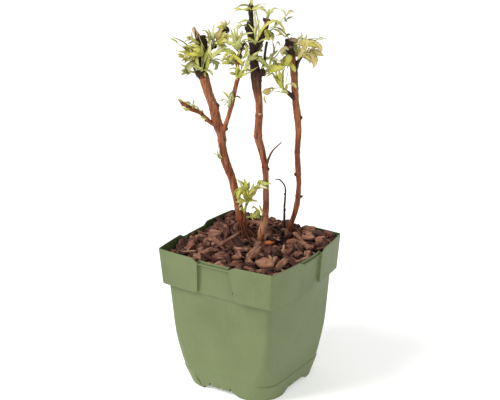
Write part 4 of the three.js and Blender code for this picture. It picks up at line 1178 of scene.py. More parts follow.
@dataclass
class Limb:
    """A cane, branch or twig: tapering bark tubes through stations of its fan."""

    name: str
    stations: list[Station]
    spurs: list[list[Station]] = field(default_factory=list)
    buds: tuple[Bud, ...] = ()
    # Heights between which the bark turns dark.
    dark: Pair = (NEVER, NEVER + 10)
    # Heights of tan bands, and how tan each is: worn bark, but the left cane's band at 310 is a painted
    # highlight.
    tan: tuple[Pair, ...] = ()
    # For each spur, the same range as dark.
    spur_dark: tuple[Pair, ...] = ()
    # For each line, the height above which it is bare wood.
    bare: tuple[float, ...] = ()
    # Height from which the skin is still green, and the heights of old leaf scars.
    green_from: float = NEVER
    scars: tuple[float, ...] = ()
    # Frayed strips round the foot: how many, and how far they spread and climb. With any, the bark also
    # darkens towards the foot, partly its own darker bark and partly painted shade, as far up as the
    # spread sets.
    fibres: int = 0
    spread: float = 1.0
    sides: int = 28
    bud_sides: int = 10
    ring_gap: float = 1.1
    # How rough the bark is.
    lump: float = 0.22

    def __post_init__(self) -> None:
        """Make a curve and a list of radii for every line."""
        self.lines = []
        for stations in [self.stations, *self.spurs]:
            curve = Curve([in_fan(s, f, z) for s, f, z, _ in stations])
            self.lines.append((curve, [station[3] for station in stations]))

    def radius(self, line: int, share: float) -> float:
        """Radius at a share of a line."""
        radii = self.lines[line][1]
        position = share * (len(radii) - 1)
        i = min(int(position), len(radii) - 2)
        return radii[i] + (radii[i + 1] - radii[i]) * (position - i)

    def share_at(self, height: float, line: int) -> float:
        """Share of a line at which it passes a height."""
        low, high = 0.0, 1.0
        for _ in range(24):
            middle = (low + high) / 2
            if self.lines[line][0].at(middle)[2] < height:
                low = middle
            else:
                high = middle
        return low

    def samples(self) -> Samples:
        """Points with radii along every line, for keeping leaves clear."""
        found = []
        for index, (curve, radii) in enumerate(self.lines):
            count = (len(radii) - 1) * 6
            found += [(curve.at(i / count), self.radius(index, i / count)) for i in range(count + 1)]
        return found

    def build(self) -> Mesh:
        """The bark as a mesh, with its buds."""
        parts = Parts("dark", "tan", "young", "cut")
        for index in range(len(self.lines)):
            self._tube(parts, index)
        for bud in self.buds:
            self._bud(parts, bud)
        self._fray(parts)
        return parts.mesh(self.name)

    def _tube(self, parts: Parts, index: int) -> None:
        """Add one line's bark tube."""
        curve, _ = self.lines[index]
        coarse = np.array([curve.at(i / 60) for i in range(61)])
        length = float(np.linalg.norm(np.diff(coarse, axis=0), axis=1).sum())
        rings = max(int(length / self.ring_gap), 8)
        night = self.spur_dark[index - 1] if 0 < index <= len(self.spur_dark) else self.dark
        bare = self.bare[index] if index < len(self.bare) else NEVER
        sides = self.sides if index == 0 else max(self.sides // 2, 10)
        centres, radii, darks, tans, cuts, greens = [], [], [], [], [], []
        for i in range(rings + 1):
            share = i / rings
            centre = curve.at(share)
            base = self.radius(index, share)
            dark = ease(*night, centre[2] + 5 * rough(centre, 9))
            # Painted shade, with the foot's own darker bark: a limb with fibres darkens towards its foot,
            # where it enters the bed.
            if self.fibres:
                climbed = centre[2] - curve.at(0)[2] + 6 * rough(centre, 5)
                dark = max(dark, 0.36 * self.spread * ease(20 * self.spread ** 1.5, 5, climbed))
            scar = sum(exp(-((centre[2] - z) / 1.5) ** 2) for z in self.scars)
            seam = 0.6 * sum(exp(-((centre[2] - z - 1.2) / 0.8) ** 2) for z in self.scars)
            row = []
            for j in range(sides):
                angle = 2 * pi * j / sides
                spot = np.array([cos(angle) * 6, sin(angle) * 6, centre[2] * 0.3]) + centre * 0.2
                ridge = rough(spot, 3.0)
                knob = rough(spot + np.array([31.0, 7.0, centre[2] * 0.35]), 5.0)
                amount = self.lump * (0.6 * ridge + 0.9 * knob) * (1 + 1.9 * dark)
                row.append(max(base + amount * min(base / 3, 1.3) + 0.4 * scar, base * 0.4))
            centres.append(centre)
            radii.append(row)
            turn = centre[2] * 0.7
            darks.append([min(dark + seam * max(sin(2 * pi * j / sides + turn), 0.0), 1.0)
                          for j in range(sides)])
            patch = sum(w * exp(-((centre[2] - z) / 9) ** 2) for z, w in self.tan)
            tans.append([min(patch, 1.0)])
            cuts.append([ease(bare - 1, bare + 1, centre[2])])
            greens.append([ease(self.green_from - 2, self.green_from + 2, centre[2])])
        radii[-1] = [r * 0.86 for r in radii[-1]]
        sweep(parts, np.array(centres), np.array(radii), dark=darks, tan=tans, young=greens, cut=cuts)

    def _fray(self, parts: Parts) -> None:
        """Add the frayed strips of bark and rootlets round the foot."""
        dice = Dice(len(self.name) * 13 + 5)
        foot = self.lines[0][0].at(0.0)
        for number in range(self.fibres):
            turn = number * 2.4 + dice.between(-0.4, 0.4)
            out = np.array([cos(turn), sin(turn), 0.0])
            height = dice.between(3, 17 * self.spread)
            share = self.share_at(foot[2] + height, 0)
            start = self.lines[0][0].at(share) + out * self.radius(0, share) * 0.8
            reach = self.radius(0, 0.0) * dice.between(0.9, 1.45) * self.spread
            sway = ACROSS * dice.between(-3.5, 3.5)
            end = foot + out * reach + sway + UP * dice.between(2.5, 7)
            middle = (start + end) / 2 + out * dice.between(-0.6, 1.2) + UP * dice.between(-2, 2)
            curve = Curve([start, middle, end])
            centres = np.array([curve.at(t) for t in np.linspace(0, 1, 9)])
            widths = dice.between(0.25, 0.7) * np.array([0.5, 0.8, 1, 1, 1.1, 1, 0.9, 0.7, 0.4])
            radii = np.array([[w * (1 + 0.3 * cos(2 * a + turn)) for a in np.arange(6) * pi / 3]
                              for w in widths])
            sweep(parts, centres, radii, dark=dice.between(0.45, 1.0), tan=dice.between(0, 0.3))

    def _bud(self, parts: Parts, bud: Bud) -> None:
        """Add one bud as a short pointed knob rooted in the bark."""
        share = self.share_at(bud.height, 0)
        centre = self.lines[0][0].at(share)
        turn, rise = radians(bud.turn), radians(bud.rise)
        out = unit(ACROSS * cos(turn) + FORWARD * sin(turn))
        aim = out * cos(rise) + UP * sin(rise)
        root = centre + out * self.radius(0, share) * 0.55
        shares = np.linspace(0, 1, 9)
        centres = np.array([root + aim * bud.length * t + UP * bud.length * 0.12 * t * t for t in shares])
        widths = bud.radius * np.sqrt(np.clip(1 - shares ** 2, 0.02, 1))
        widths *= 0.75 + 0.5 * np.sin(shares * pi)
        radii = np.array([[w * (1 + 0.15 * rough(np.array([j * 2.1, w * 3, bud.height]), 2))
                           for j in range(self.bud_sides)] for w in widths])
        sweep(parts, centres, radii, dark=max(ease(*self.dark, bud.height), 0.7), cut=bud.pale)


# Leaves.
class Kind(Enum):
    """Kinds of leaf: one narrow blade, one broad oval, or three leaflets."""

    BLADE = "blade"
    OVAL = "oval"
    TREFOIL = "trefoil"


class Tone(Enum):
    """Colours of foliage, named as the record's slots."""

    LIME = "lime"
    FRESH = "fresh"
    PALE = "pale"
    DEEP = "deep"
    BRONZE = "bronze"


@dataclass(frozen=True)
class Fan:
    """Leaves dealt evenly between two angles."""

    aim: Pair
    leaves: int
    reach: float
    leaf: float
    slim: float
    lean: float
    splay: float
    kind: Kind = Kind.OVAL
    droop: float = 0.35


@dataclass(frozen=True)
class Spray:
    """A mass of leaves that springs from one short stem on a limb."""

    name: str
    limb: str
    height: float
    facing: float
    lean: float
    tone: Tone
    seed: int
    fans: tuple[Fan, ...]
    line: int = 0
    # Whether smaller leaves grow on from the stalks of its own.
    filled: bool = True


@dataclass(frozen=True)
class Laid:
    """A leaf that stands out by itself, laid along a path of the fan."""

    tone: Tone
    wide: float
    # Stations of its midrib: across, forward and height.
    path: str
    # Turn of its upper face from straight up, nought, towards the front, ninety degrees.
    tilt: float = 80.0
    # Its place between its tone's shadow colour, nought, and its light one: the leaf's own colour and
    # painted shade and light together, set leaf by leaf; dealt when less than nought.
    shade: float = -1.0
    # Share of the path that is a bare stalk.
    stalk: float = 0.0
    fold: float = 0.45
    belly: float = 0.45

    def curve(self) -> Curve:
        """Its midrib and stalk as a curve."""
        return Curve([in_fan(*map(float, station.split())) for station in self.path.split(",")])


@dataclass(frozen=True)
class LeafRule:
    """The rule that grows every leaf, shared with the model's solids."""

    stem_length: float = 4.0
    stalk_radius: float = 0.55
    side_share: float = 0.74
    side_turn: float = radians(62)
    side_back: float = 0.28
    jitter: float = radians(9)
    # A leaf that is alone in its fan keeps nearly to its aim.
    lone_jitter: float = 0.15
    tries: int = 7
    oval_spread: float = 1.45
    sample_radius: float = 1.1
    clearance: float = 0.4


RULE = LeafRule()


class Leaflet:
    """One folded leaflet from its base along a direction."""

    def __init__(self, base: Array, along: Array, normal: Array, length: float,
                 width: float, droop: float) -> None:
        """Keep its frame and sizes."""
        self.base, self.along, self.normal = base, along, normal
        self.side = unit(np.cross(normal, along))
        self.length, self.width, self.droop = length, width, droop

    def point(self, u: float, v: float, w: float = 0.0, fold: float = 0.35) -> Array:
        """Point at a share of the length and of the half width, raised by w millimetres."""
        half = self.width / 2 * v
        return (self.base + self.along * (self.length * u) + self.side * half
                + self.normal * (fold * abs(half) + w) - UP * (self.droop * self.length * u * u * 0.5))

    def samples(self) -> Samples:
        """Points with radii over the leaflet."""
        return [(self.point(u, v * 0.3 if u > 0.9 else v), RULE.sample_radius)
                for u in (0.3, 0.6, 0.92) for v in (-0.6, 0.0, 0.6)]


class Leaf:
    """One leaf: a stalk that ends in a blade, or in a leaflet with one to each side."""

    def __init__(self, root: Array, angle: float, fan: Fan, dice: Dice, lean: float) -> None:
        """Deal the leaf's sizes and set out its leaflets."""
        along = direction(angle, lean)
        reach = fan.reach * dice.between(0.78, 1.06)
        size = fan.leaf * dice.between(0.82, 1.12)
        tilt = dice.between(0.15, 1.25)
        roll = dice.between(-0.5, 0.5)
        stalk = max(reach - size, reach * 0.25)
        droop = fan.droop * dice.between(0.7, 1.3)
        facing = UP * cos(tilt) + FORWARD * sin(tilt)
        normal = turned(unit(facing - along * float(facing @ along)), along, roll)
        end = root + along * stalk
        middle = root + along * (stalk * 0.5) + UP * (stalk * 0.06)
        self.fan, self.stalk, self.size, self.normal, self.along = fan, stalk, size, normal, along
        self.petiole = Curve([root, middle, end])
        seat = end - along * 0.8
        width = size * fan.slim * (RULE.oval_spread if fan.kind is Kind.OVAL else 1)
        self.leaflets = [Leaflet(seat, along, normal, size + 0.8, width, droop)]
        if fan.kind is Kind.TREFOIL:
            length = size * RULE.side_share
            back = min(stalk * 0.6, size * RULE.side_back)
            for hand in (-1, 1):
                out = turned(along, normal, RULE.side_turn * dice.between(0.85, 1.15) * hand)
                pair = self.petiole.at(1 - back / stalk) - out * (RULE.stalk_radius / 2)
                self.leaflets.append(Leaflet(pair, out, normal, length, length * fan.slim * 1.1, droop))

    def samples(self) -> Samples:
        """Points with radii over the whole leaf."""
        found = [(self.petiole.at(t), RULE.stalk_radius) for t in (0.55, 0.8, 1.0)]
        for leaflet in self.leaflets:
            found += leaflet.samples()
        return found


class Taken:
    """The room that is already taken, by owner."""

    def __init__(self) -> None:
        """Start with nothing taken."""
        self.points = np.empty((0, 3))
        self.radii = np.empty(0)
        self.owners: list[str] = []

    def add(self, samples: Samples, owner: str) -> None:
        """Take the room of an owner's samples."""
        self.points = np.vstack([self.points, [point for point, _ in samples]])
        self.radii = np.append(self.radii, [radius for _, radius in samples])
        self.owners += [owner] * len(samples)

    def clear(self, leaf: Leaf, owner: str) -> bool:
        """True where none of a leaf's samples is too near another owner's."""
        others = np.array([name != owner for name in self.owners])
        points, radii = self.points[others], self.radii[others]
        for point, radius in leaf.samples():
            away = np.linalg.norm(points - point, axis=1)
            if np.any(away <= radii + radius + RULE.clearance):
                return False
        return True


@dataclass
class Foliage:
    """All the leaves, stalks and short twigs, joined by kind and tone."""

    limbs: dict[str, Limb]
    sprays: list[Spray]
    # Seed of the laid leaves, and what a spray's seed goes up by for its leaflets and its filling.
    laid_seed: int = 77
    dress_seed: int = 1000
    fill_seed: int = 500

    def grow(self) -> None:
        """Deal every spray's leaves, then smaller ones between them within the same reach."""
        self.leaves = {tone: Parts("along", "edge", "deal") for tone in Tone}
        self.stalks = Parts("woody")
        self.nodes: dict[Tone, list[str]] = {tone: [] for tone in Tone}
        taken = Taken()
        for limb in self.limbs.values():
            taken.add(limb.samples(), limb.name)
        small = []
        for spray in self.sprays:
            root, tip, leaves = self._deal(spray, taken)
            self.nodes[spray.tone].append(spray.name)
            small.append((spray, leaves))
            self._twig(root, tip)
            dice = Dice(spray.seed + self.dress_seed)
            for leaf in leaves:
                taken.add(leaf.samples(), spray.name)
                self._dress(leaf, spray, dice)
        for spray, leaves in small:
            if spray.filled:
                self._fill(spray, leaves, taken)

    def _origin(self, spray: Spray) -> tuple[Array, Array, float]:
        """Root of a spray's stem in its limb, the way it points, and its length."""
        limb = self.limbs[spray.limb]
        share = limb.share_at(spray.height, spray.line)
        root = limb.lines[spray.line][0].at(share)
        out = direction(radians(spray.facing), radians(spray.lean))
        return root, out, limb.radius(spray.line, share) + RULE.stem_length

    def _deal(self, spray: Spray, taken: Taken) -> tuple[Array, Array, list[Leaf]]:
        """Deal the leaves of a spray's fans by the shared rule."""
        root, out, length = self._origin(spray)
        dice = Dice(spray.seed)
        leaves = []
        for fan in spray.fans:
            low, high = (radians(aim) for aim in fan.aim)
            jitter = RULE.jitter * (1 if fan.leaves > 1 else RULE.lone_jitter)
            for k in range(fan.leaves):
                middle = low + (high - low) * (k + 0.5) / fan.leaves
                hand = 1 if k % 2 else -1
                for attempt in range(RULE.tries):
                    angle = middle + dice.between(-1, 1) * jitter * (1 + attempt * 0.5)
                    lean = radians(fan.lean + hand * fan.splay * dice.between(0.3, 1))
                    start = root + out * (length * dice.between(0.72, 0.98))
                    leaf = Leaf(start, angle, fan, dice, lean)
                    if taken.clear(leaf, spray.name):
                        leaves.append(leaf)
                        break
        return root, root + out * length, leaves

    def _fill(self, spray: Spray, leaves: list[Leaf], taken: Taken) -> None:
        """Grow a smaller leaf on from the stalk of each of a spray's own, within their reach."""
        dice = Dice(spray.seed + self.fill_seed)
        for leaf in leaves:
            fan = leaf.fan
            share = dice.between(0.05, 0.9)
            axis = unit(np.cross(leaf.along, [dice.between(-1, 1) for _ in range(3)]))
            along = turned(leaf.along, axis, radians(dice.between(20, 78)))
            size = leaf.size * dice.between(0.45, 0.85)
            kind = Kind.BLADE if fan.kind is Kind.BLADE else Kind.OVAL
            small = replace(fan, reach=size * dice.between(1.2, 1.7), leaf=size, kind=kind)
            lean = asin(float(np.clip(along @ FORWARD, -1, 1)))
            angle = atan2(float(along @ UP), float(along @ ACROSS))
            young = Leaf(leaf.petiole.at(share), angle, small, dice, lean)
            if taken.clear(young, spray.name):
                self._dress(young, spray, dice)

    def _twig(self, root: Array, tip: Array) -> None:
        """Add a spray's short woody stem, swollen like an opened bud."""
        shares = np.linspace(0, 1, 8)
        centres = np.array([root + (tip - root) * (0.2 + 0.85 * t) for t in shares])
        widths = 1.1 + 0.75 * np.sin(np.clip(shares * 1.15, 0, 1) * pi) - 0.5 * shares
        radii = np.repeat(widths[:, None], 8, axis=1)
        sweep(self.stalks, centres, radii, woody=(1 - 0.9 * shares)[:, None])

    def _stalk(self, curve: Curve, start: float, end: float) -> None:
        """Add a leaf stalk along a curve."""
        shares = np.linspace(0, 1, 6)
        centres = np.array([curve.at(float(t)) for t in shares])
        radii = np.repeat((start + (end - start) * shares)[:, None], 5, axis=1)
        sweep(self.stalks, centres, radii)

    def lay(self, leaves: list[Laid]) -> None:
        """Add the leaves that are laid one by one, each with shades of its own."""
        dice = Dice(self.laid_seed)
        for laid in leaves:
            curve = laid.curve()
            if laid.stalk:
                self._stalk(Curve([curve.at(laid.stalk * t) for t in (0, 0.33, 0.67, 1)]), 0.55, 0.4)
            first, tilt = laid.stalk, radians(laid.tilt + dice.between(-9, 9))
            facing = UP * cos(tilt) + FORWARD * sin(tilt)
            spots = [curve.at(first + (1 - first) * u) for u in np.linspace(0, 1, 11)]
            blade = Blade(np.array(spots), facing, laid.wide, laid.fold, laid.belly, dice)
            dealt = dice.roll()
            blade.add_to(self.leaves[laid.tone], dealt if laid.shade < 0 else laid.shade)

    def _dress(self, leaf: Leaf, spray: Spray, dice: Dice) -> None:
        """Add one leaf: its stalk, and leaflets drawn finer than the solid's."""
        parts = self.leaves[spray.tone]
        deal = dice.roll()
        self._stalk(leaf.petiole, 0.5, 0.34)
        slim = min(leaf.fan.slim, 0.46)
        for leaflet in leaf.leaflets:
            self._leaflet(parts, leaflet, 0.0, leaflet.length, leaflet.length * slim, deal, dice)
            if leaf.fan.kind is not Kind.OVAL:
                continue
            for hand in (-1, 1) if deal > 0.5 else ():
                turn = hand * radians(dice.between(28, 66))
                length = leaflet.length * dice.between(0.42, 0.72)
                self._leaflet(parts, leaflet, turn, length, length * slim * 0.85, deal, dice)

    def _leaflet(self, parts: Parts, main: Leaflet, turn: float, length: float, width: float, deal: float,
                 dice: Dice) -> None:
        """Add a leaflet turned from another in its plane, then rolled and pitched out of it.

        Args:
            parts: the tone's parts.
            main: the leaflet that it starts from.
            turn: how far it turns in radians.
            length: its length.
            width: its width.
            deal: the leaf's own place between its tone's shades.
            dice: what deals its roll, pitch and curl.
        """
        out = turned(main.along, main.normal, turn)
        side = unit(np.cross(main.normal, out))
        out = turned(out, side, dice.between(-0.35, 0.35))
        normal = turned(unit(main.normal - out * float(main.normal @ out)), out, dice.between(-0.9, 0.9))
        curl, sickle = dice.between(-0.5, 0.35), dice.between(-0.3, 0.3)
        spots = []
        for u in np.linspace(0, 1, 8):
            spot = main.base + out * (length * u) - UP * (main.droop * length * u * u * 0.5)
            spot = spot + normal * (curl * length * 0.5 * u * u)
            spots.append(spot + side * (sickle * length * 0.5 * u * u))
        fold = dice.between(0.25, 0.75)
        Blade(np.array(spots), normal, width, fold, belly=0.42, dice=dice).add_to(parts, deal)


@dataclass
class Blade:
    """One thin closed leaflet round its midrib, folded along it, with wavy edges."""

    spots: Array
    facing: Array
    wide: float
    fold: float
    belly: float
    dice: Dice
    thick: float = 0.16
    ragged: float = 0.09
    section: tuple[tuple[float, int], ...] = (
        (-1.0, 0), (-0.5, 1), (0.0, 1), (0.5, 1), (1.0, 0), (0.5, -1), (0.0, -1), (-0.5, -1))

    def add_to(self, parts: Parts, deal: float) -> None:
        """Add the leaflet to a tone's parts, with its own place between the tone's shades."""
        spans = len(self.spots) - 1
        tangents = np.gradient(self.spots, axis=0)
        power = log(0.5) / log(self.belly)
        twist, phase = self.dice.between(-0.7, 0.7), self.dice.between(0, 6.3)
        waves = self.dice.between(0.03, 0.13)
        points, along, edge, rows = [], [], [], []
        for i, spot in enumerate(self.spots):
            u = i / spans
            tangent = unit(tangents[i])
            normal = unit(self.facing - tangent * float(self.facing @ tangent))
            normal = turned(normal, tangent, twist * (u - 0.4))
            side = np.cross(normal, tangent)
            half = self.wide / 2 * sin(pi * u ** power) ** 0.82
            if i in (0, spans):
                rows.append([len(points)])
                points.append(spot)
                along.append(u)
                edge.append(0.0)
                continue
            row = []
            for v, w in self.section:
                wave = waves * self.wide * sin(phase + 13 * u + 2 * v) * v * v
                lift = self.fold * abs(v) * half + wave + w * self.thick
                notch = 1 + self.ragged * sin(phase * 3 + 19 * u + 4 * v) * abs(v)
                row.append(len(points))
                points.append(spot + side * (v * half * notch) + normal * lift)
                along.append(u)
                edge.append(abs(v))
            rows.append(row)
        faces = []
        around = len(self.section)
        for low, high in zip(rows, rows[1:]):
            for j in range(around):
                k = (j + 1) % around
                if len(low) == 1:
                    faces.append((low[0], high[k], high[j]))
                elif len(high) == 1:
                    faces.append((low[j], low[k], high[0]))
                else:
                    faces.append((low[j], low[k], high[k], high[j]))
        parts.add(np.array(points), faces, along=np.array(along), edge=np.array(edge), deal=deal)


# Studio.
@dataclass
class Studio:
    """Pale floor, soft light and the camera."""

    # Where the camera is in millimetres, and its own axes.
    eye: Point = (714.03, -1106.21, 672.63)
    right: Point = (0.8406612, 0.5415471, -0.0039356)
    above: Point = (-0.1793517, 0.2852559, 0.9415211)
    back: Point = (0.5110007, -0.7907944, 0.3369309)
    lens: float = 96.632
    far: float = 6.0
    sky: float = 0.61
    # Name, place and size in metres, and power in watts of each light.
    lights: tuple[tuple[str, Point, float, float], ...] = (
        ("key", (-1.2, -1.85, 2.3), 1.2, 71.0), ("fill", (2.2, -0.6, 1.4), 1.6, 2.0))

    def camera(self) -> None:
        """Make the camera."""
        data = bpy.data.cameras.new("camera")
        data.lens = self.lens
        data.sensor_width = 36
        data.dof.use_dof = False
        data.clip_start, data.clip_end = 0.01, 50
        camera = stand("camera", data)
        rows = Matrix((self.right, self.above, self.back)).transposed().to_4x4()
        rows.translation = Vector(self.eye) * MM
        camera.matrix_world = rows
        bpy.context.scene.camera = camera

    def floor(self) -> None:
        """Lay the floor."""
        mesh = bpy.data.meshes.new("floor")
        far = self.far
        corners = [(-far, -far, 0), (far, -far, 0), (far, far, 0), (-far, far, 0)]
        mesh.from_pydata(corners, [], [(0, 1, 2, 3)])
        mesh.materials.append(StageFinish().material())
        stand("floor", mesh)

    def light(self, name: str, spot: Point, size: float, power: float) -> None:
        """Hang one soft square light that faces the plant.

        Args:
            name: its name.
            spot: where it hangs, in metres.
            size: the length of its side in metres.
            power: its power in watts.
        """
        data = bpy.data.lights.new(name, "AREA")
        data.size, data.energy = size, power
        light = stand(name, data)
        light.location = spot
        aim = Vector((0, 0, 0.2)) - Vector(spot)
        light.rotation_euler = aim.to_track_quat("-Z", "Y").to_euler()

    def build(self) -> None:
        """Set the stage."""
        self.camera()
        self.floor()
        for lamp in self.lights:
            self.light(*lamp)
        world = bpy.data.worlds.new("studio")
        world.use_nodes = True
        sky = next(n for n in world.node_tree.nodes if n.type == "BACKGROUND")
        sky.inputs["Color"].default_value = (1, 1, 1, 1)
        sky.inputs["Strength"].default_value = self.sky
        bpy.context.scene.world = world
        bpy.context.scene.view_settings.view_transform = "Standard"


# The plant.
BLADE, OVAL, TREFOIL = Kind
LIME, FRESH, PALE, DEEP, BRONZE = Tone

LIMBS = [
    Limb("cane_left", [
        (-4, -16, 150, 7), (-8, -16, 165, 5.9), (-12, -16, 185, 4.6), (-19, -16, 218, 4.1),
        (-26, -15, 239, 4.6), (-29, -15, 255, 4.1), (-30, -15, 268, 4.7), (-35, -15, 284, 5.2),
        (-38, -16, 299, 4.9), (-43, -16, 313, 4.6), (-47, -17, 328, 5.4), (-51, -17, 337, 5.7),
        (-48, -17, 347, 4.4), (-45.5, -18, 357, 3.1), (-48, -18, 372, 3.3),
    ], spurs=[[(-49, -18, 351, 2.6), (-50.5, -17, 360, 2.5), (-52, -16, 370, 3),
               (-57.5, -15, 380.5, 1.8)]],
        buds=(Bud(299, 12, 4, 2.8, 10), Bud(295, 8, 2.4, 2.4, 0), Bud(240, 150, 3.2, 1.6, 40),
              Bud(284, 170, 2.4, 1.6, 30), Bud(330, 100, 3, 2.2, 20), Bud(338, 190, 4.6, 2.6, 10),
              # The long dark knobs at 345 and 348 that reach out to the left are painted shade: dark
              # blobs for the shaded hollow between the leaves.
              Bud(342, 165, 10, 1.4, 6), Bud(348, 172, 8.5, 3.2, 0), Bud(345, 200, 7, 3, -15),
              Bud(352, 150, 6, 2.6, 20),
              Bud(341, 20, 4, 2.4, 30), Bud(303, 75, 2.7, 1.5, 0, 0.9), Bud(328, 75, 3, 1.6, 0, 0.8)),
        # Its tan band at 310 is a painted highlight.
        dark=(329, 335), tan=((268, 0.25), (310, 0.35), (200, 0.15)), spur_dark=((330, 338),),
        bare=(NEVER, 371.5), scars=(296, 262, 228), fibres=64, spread=1.45, lump=0.3),
    Limb("branch_inner", [
        (-30, -15, 264, 2.9), (-27, -13, 275, 2.6), (-22, -12, 290, 2.2), (-18, -11, 306, 2.4),
        (-14, -10, 324, 2.2), (-12, -9, 333, 2.2), (-13, -8, 348, 1.7), (-9, -8, 359, 1.5),
        (-5, -9, 368, 1.4),
    ], buds=(Bud(274, 5, 3.4, 1.9, 40), Bud(299, 160, 3.2, 1.4, 40)), dark=(348, 357), scars=(276, 301),
        sides=20, lump=0.24),
    Limb("twig_low", [
        (-36, -15, 278, 2.2), (-43, -12, 284, 2.1), (-51, -9, 293, 2), (-60, -5, 299, 2.4),
        (-68, -2, 305, 1.8), (-73, 0, 310, 0.9),
    ], buds=(Bud(285, 160, 2.4, 1.8, 10), Bud(292, 60, 2.2, 1.6, 30), Bud(299, 200, 2.6, 1.9, -30),
             Bud(301, 80, 2.6, 1.6, 50), Bud(305, 190, 2.4, 1.4, 30)),
        dark=(292, 330), scars=(286, 299, 305), bare=(308,), sides=16, lump=0.32),
    Limb("branch_side", [
        (-47, -18, 352, 2), (-43, -18, 356, 1.9), (-37, -18, 361, 1.9), (-30.5, -19, 369, 1.8),
        (-23, -20, 380, 1.5),
    ], buds=(Bud(361, 40, 3, 2.2, 0), Bud(366, 90, 3, 2, 0), Bud(376, 200, 2.8, 3.6, 20),
             Bud(377, 60, 3.4, 3.6, 30)),
        dark=(300, 310), sides=16, lump=0.4),
    Limb("cane_middle", [
        (8, -2, 150, 3.3), (11, -2, 162, 3.9), (14, -2, 175, 3.9), (16, -3, 192, 3.4),
        (16, -4, 218, 2.9), (15, -5, 237, 3.3), (12, -6, 252, 3.6), (8, -6, 269, 4.2),
        (9, -7, 289, 3.8), (9, -8, 303, 3.8), (7, -8, 319, 4.6), (6, -8, 332, 5.8),
        (4.2, -9, 344, 4.1), (4, -10, 355, 3.8), (4.6, -10, 365, 5.6), (1.5, -10, 374, 4.7),
        (-0.2, -10, 382, 4), (1.2, -10, 390, 2.5), (1, -10, 399, 2.3), (1, -10, 403, 2.9),
        (1, -10, 405, 1.7), (2, -10, 410, 0.6),
    ], spurs=[[(6, -8, 333, 3.4), (11, -7, 335.5, 3.7), (15.5, -6, 336.5, 3.2)]],
        buds=(Bud(269, 180, 2.6, 2, 30), Bud(290, 20, 1.8, 2, 20), Bud(233, 20, 3.4, 1.9, 40),
              Bud(366, 180, 3.6, 2.4, 40), Bud(381, 185, 3, 2.4, 40),
              Bud(293, 75, 2.2, 1.7, 10, 0.9), Bud(290, 80, 2.2, 1.9, -10), Bud(333, 150, 2.4, 2.2, 20)),
        dark=(300, 338), tan=((166, 0.8), (178, 0.6), (210, 0.4), (262, 0.3)), spur_dark=((200, 210),),
        scars=(290, 269, 236, 182), fibres=5, lump=0.3),
    Limb("fork_middle", [
        (5, -10, 359, 3.1), (8.6, -9, 365, 3.1), (12.6, -8, 373, 2.9), (16, -7, 382, 2.3),
        (17, -6, 391, 2.4),
    ], buds=(Bud(389, 170, 4, 1.7, 55), Bud(388, 10, 3.6, 1.6, 55)),
        dark=(391, 383), sides=16, lump=0.32),
    Limb("twig_thin", [
        (12, -6, 339, 1.6), (14.5, -4, 347, 1.5), (15, -3, 356, 1.3), (17, -2, 369, 1.3),
    ], dark=(320, 350), sides=12, lump=0.2),
    Limb("twig_dead", [
        (14, -4, 234, 1.6), (17, -2, 240, 1.4), (19, -1, 247, 1.2), (23, 2, 256, 0.9), (32, 5, 266, 0.5),
    ], buds=(Bud(236, 10, 1.8, 1.5, 0),), dark=(200, 300), sides=12, lump=0.25),
    Limb("cane_right", [
        (40, -25, 149, 3.4), (42, -25, 161, 2.8), (45, -25, 171, 2.6), (49, -24, 187, 3),
        (51, -23, 208, 2.6), (50, -22, 228, 3.1), (49, -21, 247, 2.8), (50, -20, 266, 3.1),
        (49, -19, 285, 3.7), (47, -19, 300, 3.6), (46, -18, 316, 3.5), (45, -18, 332, 3.8),
        (44, -17, 341, 4), (42, -17, 352, 3.5), (40, -17, 360, 4.2), (40, -17, 368, 5),
    ], spurs=[
        [(45, -17, 333, 2.8), (47, -16, 340, 2.4), (49, -14, 346, 2), (52, -12, 351, 1.5)],
        [(46, -18, 305, 2.6), (41, -14, 311, 2.2), (36, -10, 316, 1.7)],
    ], buds=(Bud(196, 10, 4.4, 1.3, 20), Bud(285, 10, 3.2, 2.4, 15), Bud(222, 170, 3.2, 2, 15),
             Bud(360, 180, 3.6, 2.4, 20), Bud(364, 75, 3, 2.6, 20), Bud(366, 350, 4.4, 2.6, 30),
             Bud(367, 20, 5.6, 2.2, 10, 0.85), Bud(368, 60, 3.4, 2, 30, 0.75),
             Bud(361, 70, 2.6, 2, 0, 0.5)),
        dark=(345, 354), spur_dark=((326, 338), (300, 304)),
        scars=(285, 247, 222, 197, 316), fibres=9, lump=0.26),
    Limb("stem_dead", [
        (36, -28, 151, 1.4), (36, -27, 181, 1.1), (37, -26, 201, 0.9), (36, -26, 208, 0.8),
        (31, -25, 215, 0.7), (26, -24, 216, 0.5),
    ], buds=(Bud(180, 0, 1.6, 0.8, 50), Bud(198, 170, 1.8, 0.8, 50)),
        dark=(100, 110), sides=12, lump=0.25),
    Limb("shoot_base", [
        (-8, -14, 166, 1.9), (-6, -8, 177, 1.6), (-6, -5, 188, 1.5), (-4, -4, 197, 1.2),
    ], green_from=186, sides=14, lump=0.12),
]

